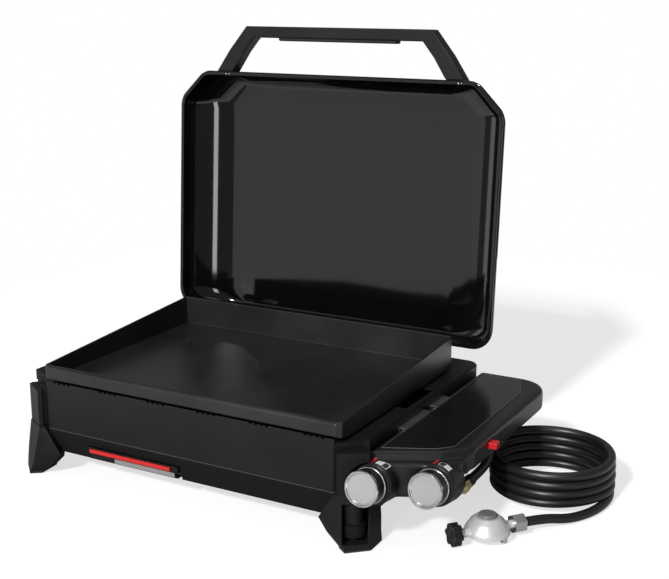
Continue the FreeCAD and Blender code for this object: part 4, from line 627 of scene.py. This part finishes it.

# Thin pale line around the glossy table panel: a painted highlight standing in for the light that the panel
# frame's bevelled edge catches

paintedEdgeLine = {"height": 145.6, "radius": 0.00045,
        "corners": [(329.5, 57), (402, 91.3), (423.7, 114.3),
                    (423.7, 400.2), (401.8, 461.7), (329.5, 461.7)]}
panelEdgeHighlight = bead("PanelTrim", [spot(x, y, paintedEdgeLine["height"]) for x, y in paintedEdgeLine["corners"]], paintedEdgeLine["radius"])
# pale grey paint for the painted highlight along the panel's edge
ready(panelEdgeHighlight, "station", finish["trim_grey"])
print("trim ready")

# Closed front end of the left carrying lip

lipEnd = {"middle": (-327.5, 40.4, 153), "size": (0.0205, 0.0012, 0.028), "slope": 0.0065,
          "cornerIn": 0.003, "cornerUp": 0.002, "round": 0.0005}
bpy.ops.mesh.primitive_cube_add(size=1, location=(0, 0, 0))
lipPlate = bpy.context.object
lipPlate.name = "LipEnd"
pick(lipPlate)
bpy.ops.object.mode_set(mode="EDIT")
bpy.ops.transform.resize(value=lipEnd["size"])
chooseCorners(lipPlate, lambda co: co.x > 0 and co.z > 0)
bpy.ops.transform.translate(value=(0, 0, -lipEnd["slope"]))
chooseCorners(lipPlate, lambda co: co.x < 0 and co.z < 0)
bpy.ops.transform.translate(value=(lipEnd["cornerIn"], 0, lipEnd["cornerUp"]))
bpy.ops.object.mode_set(mode="OBJECT")
applyModifier(lipPlate, "BEVEL", width=lipEnd["round"], segments=3, limit_method="ANGLE")
smoothByAngle(lipPlate, 45)
lipPlate.location = spot(*lipEnd["middle"])
settle(lipPlate)
ready(lipPlate, "station", finish["box_black"])

# Sheet metal and moulded pieces taken from the frame, with their edges rounded by so many metres

edgeRadii = {
    "griddle_plate": 0.0016, "cookbox_shell": 0.0006,
    "lid_handle": 0.003, "table_panel": 0.0005,
    "leg_front_left": 0.004, "leg_front_right": 0.004, "leg_rear_left": 0.004, "leg_rear_right": 0.004,
    "drip_tray": 0.0005, "tray_strip": 0.0008, "grease_pan": 0.0003, "igniter_button": 0.0004,
    "knob_left": 0.0006, "knob_right": 0.0006, "knob_cap_left": 0.0005, "knob_cap_right": 0.0005,
    "knob_ring_left": 0.0003, "knob_ring_right": 0.0003, "knob_bezels": 0.0004,
    "regulator_body": 0.0015, "regulator_cap": 0.0006, "union_nut": 0.0008,
    "gas_inlet_nut": 0.0008, "hose_adapter": 0.0006, "handle_screws": 0.0005,
    "hinge_brackets": 0.0005, "hinge_arms": 0.0005,
    "foot_pads": 0.0005, "table_brackets": 0.0003,
}
plateRim = {"front": frontY + 0.0022, "fold": 0.0045, "low": 0.1895, "shortest": 0.1, "round": 0.0027}
capDish = {"rim": 0.0012, "step": 0.0004, "deep": 0.0007}


def roundApron(piece):  # the folded front edge of the plate is a soft bend
    pick(piece)
    bpy.ops.object.mode_set(mode="EDIT")
    bpy.ops.mesh.select_mode(type="EDGE")
    bpy.ops.mesh.select_all(action="DESELECT")
    mesh = bmesh.from_edit_mesh(piece.data)
    for edge in mesh.edges:
        first, last = (corner.co for corner in edge.verts)
        isFold = max(first.y, last.y) < plateRim["front"] + plateRim["fold"]
        isHigh = min(first.z, last.z) > plateRim["low"]
        edge.select = isFold and isHigh and abs(first.x - last.x) > plateRim["shortest"]
    bmesh.update_edit_mesh(piece.data)
    bpy.ops.mesh.bevel(offset=plateRim["round"], segments=5, affect="EDGES")
    bpy.ops.object.mode_set(mode="OBJECT")


def dishCap(piece):  # a raised bright rim around the sunk face of the cap
    pick(piece)
    bpy.ops.object.mode_set(mode="EDIT")
    chooseFaces(piece, lambda centre, normal: normal.y < -0.97)
    bpy.ops.mesh.inset(thickness=capDish["rim"])
    bpy.ops.mesh.inset(thickness=capDish["step"])
    bpy.ops.transform.translate(value=(0, capDish["deep"], 0))
    bpy.ops.object.mode_set(mode="OBJECT")


firstSteps = {"griddle_plate": roundApron, "knob_cap_left": dishCap, "knob_cap_right": dishCap}
silvered = {"union_nut": "bright_steel"}
for node, width in edgeRadii.items():
    piece = softened(node, node.title().replace("_", ""), width, first=firstSteps.get(node))
    slot = silvered.get(node, slotOf[node])
    paint = cookboxShadedFinish if node == "cookbox_shell" else finish[slot]
    ready(piece, bodyOf[node], paint, (node,))
for node, thing in nodes.items():
    thing.data.materials.clear()
    thing.data.materials.append(finish[slotOf[node]])
print("frame pieces ready")

# Floor, backdrop light and lamps

studio = {"floor": 0.46, "floorRough": 0.7, "floorGlow": 0.65, "floorPlace": (0.15, 0.25, -0.0004),
          "nearScale": (1 / 0.44, 1 / 0.36, 0), "nearShift": (0.16, 0.08, 0),
          "glossFrom": 1.3, "glossTo": 2.6, "world": 0.22, "backdrop": 1.0}


def mathNode(tree, operation, first, second):
    node = tree.nodes.new("ShaderNodeMath")
    node.operation = operation
    link(tree, first, node.inputs[0])
    if isinstance(second, float):
        node.inputs[1].default_value = second
    else:
        link(tree, second, node.inputs[1])
    return node.outputs[0]


bpy.ops.mesh.primitive_plane_add(size=3.0, location=studio["floorPlace"])
floor = bpy.context.object
settle(floor)
floor.name = "Floor"
floorMaterial = bpy.data.materials.new("FloorWhite")
floorMaterial.use_nodes = True
floorTree = floorMaterial.node_tree
floorShader = floorTree.nodes["Principled BSDF"]
floorShader.inputs["Base Color"].default_value = (*grey(studio["floor"]), 1)
floorShader.inputs["Roughness"].default_value = studio["floorRough"]
floorShader.inputs["Specular IOR Level"].default_value = 0
floorSeen = floorTree.nodes.new("ShaderNodeLightPath")
floorPlace = floorTree.nodes.new("ShaderNodeTexCoord")
floorScale = floorTree.nodes.new("ShaderNodeVectorMath")
floorScale.operation = "MULTIPLY_ADD"
floorScale.inputs[1].default_value = studio["nearScale"]
floorScale.inputs[2].default_value = studio["nearShift"]
link(floorTree, floorPlace.outputs["Object"], floorScale.inputs[0])
floorAway = floorTree.nodes.new("ShaderNodeVectorMath")
floorAway.operation = "LENGTH"
link(floorTree, floorScale.outputs[0], floorAway.inputs[0])
floorFar = floorTree.nodes.new("ShaderNodeMapRange")  # shiny pieces mirror only the glow further away
floorFar.inputs["From Min"].default_value = studio["glossFrom"]
floorFar.inputs["From Max"].default_value = studio["glossTo"]
link(floorTree, floorAway.outputs["Value"], floorFar.inputs["Value"])
floorGloss = mathNode(floorTree, "MULTIPLY", floorSeen.outputs["Is Glossy Ray"], floorFar.outputs["Result"])
floorShown = mathNode(floorTree, "MAXIMUM", floorSeen.outputs["Is Camera Ray"], floorGloss)
floorGlow = mathNode(floorTree, "MULTIPLY", floorShown, studio["floorGlow"])
floorShader.inputs["Emission Color"].default_value = (1, 1, 1, 1)
link(floorTree, floorGlow, floorShader.inputs["Emission Strength"])
floor.data.materials.append(floorMaterial)

world = bpy.data.worlds.new("Studio")
bpy.context.scene.world = world
world.use_nodes = True
worldTree = world.node_tree
background = worldTree.nodes["Background"]
background.inputs["Color"].default_value = (1, 1, 1, 1)
background.inputs["Strength"].default_value = studio["world"]
white = worldTree.nodes.new("ShaderNodeBackground")
white.inputs["Color"].default_value = (1, 1, 1, 1)
white.inputs["Strength"].default_value = studio["backdrop"]
seen = worldTree.nodes.new("ShaderNodeLightPath")
mix = worldTree.nodes.new("ShaderNodeMixShader")
straight = mathNode(worldTree, "MAXIMUM", seen.outputs["Is Camera Ray"], seen.outputs["Is Transmission Ray"])
link(worldTree, straight, mix.inputs[0])
link(worldTree, background.outputs[0], mix.inputs[1])
link(worldTree, white.outputs[0], mix.inputs[2])
link(worldTree, mix.outputs[0], worldTree.nodes["World Output"].inputs["Surface"])


def lightOf(name, data, place, towards):
    thing = bpy.data.objects.new(name, data)
    bpy.context.scene.collection.objects.link(thing)
    thing.location = place
    thing.rotation_euler = towards.to_track_quat("-Z", "Y").to_euler()


def lamp(name, place, aim, size, power):
    data = bpy.data.lights.new(name, "AREA")
    data.shape = "RECTANGLE"
    data.size, data.size_y = size
    data.energy = power
    lightOf(name, data, place, Vector(aim) - Vector(place))


sun = {"strength": 3.0, "width": 5, "place": (0, -1.6, 2.0), "towards": (0.06, 1.45, -1)}
sunData = bpy.data.lights.new("KeySun", "SUN")
sunData.energy = sun["strength"]
sunData.angle = math.radians(sun["width"])
lightOf("KeySun", sunData, sun["place"], Vector(sun["towards"]))
lamp("TopLamp", (0.3, 0.3, 2.8), (0, 0, 0.2), (1.6, 1.2), 8)
lamp("LeftBox", (-2.8, -0.1, 0.6), (0.25, 0.25, 0.45), (1.2, 1.8), 8)
lamp("FrontBox", (-1.9, -2.3, 0.55), (-0.3, 0.2, 0.45), (2.4, 2.4), 12)
lamp("StreakStrip", (0.51, -1.72, 0.35), (-0.36, 0.27, 0.4), (0.34, 1.1), 9)
print("lamps ready")
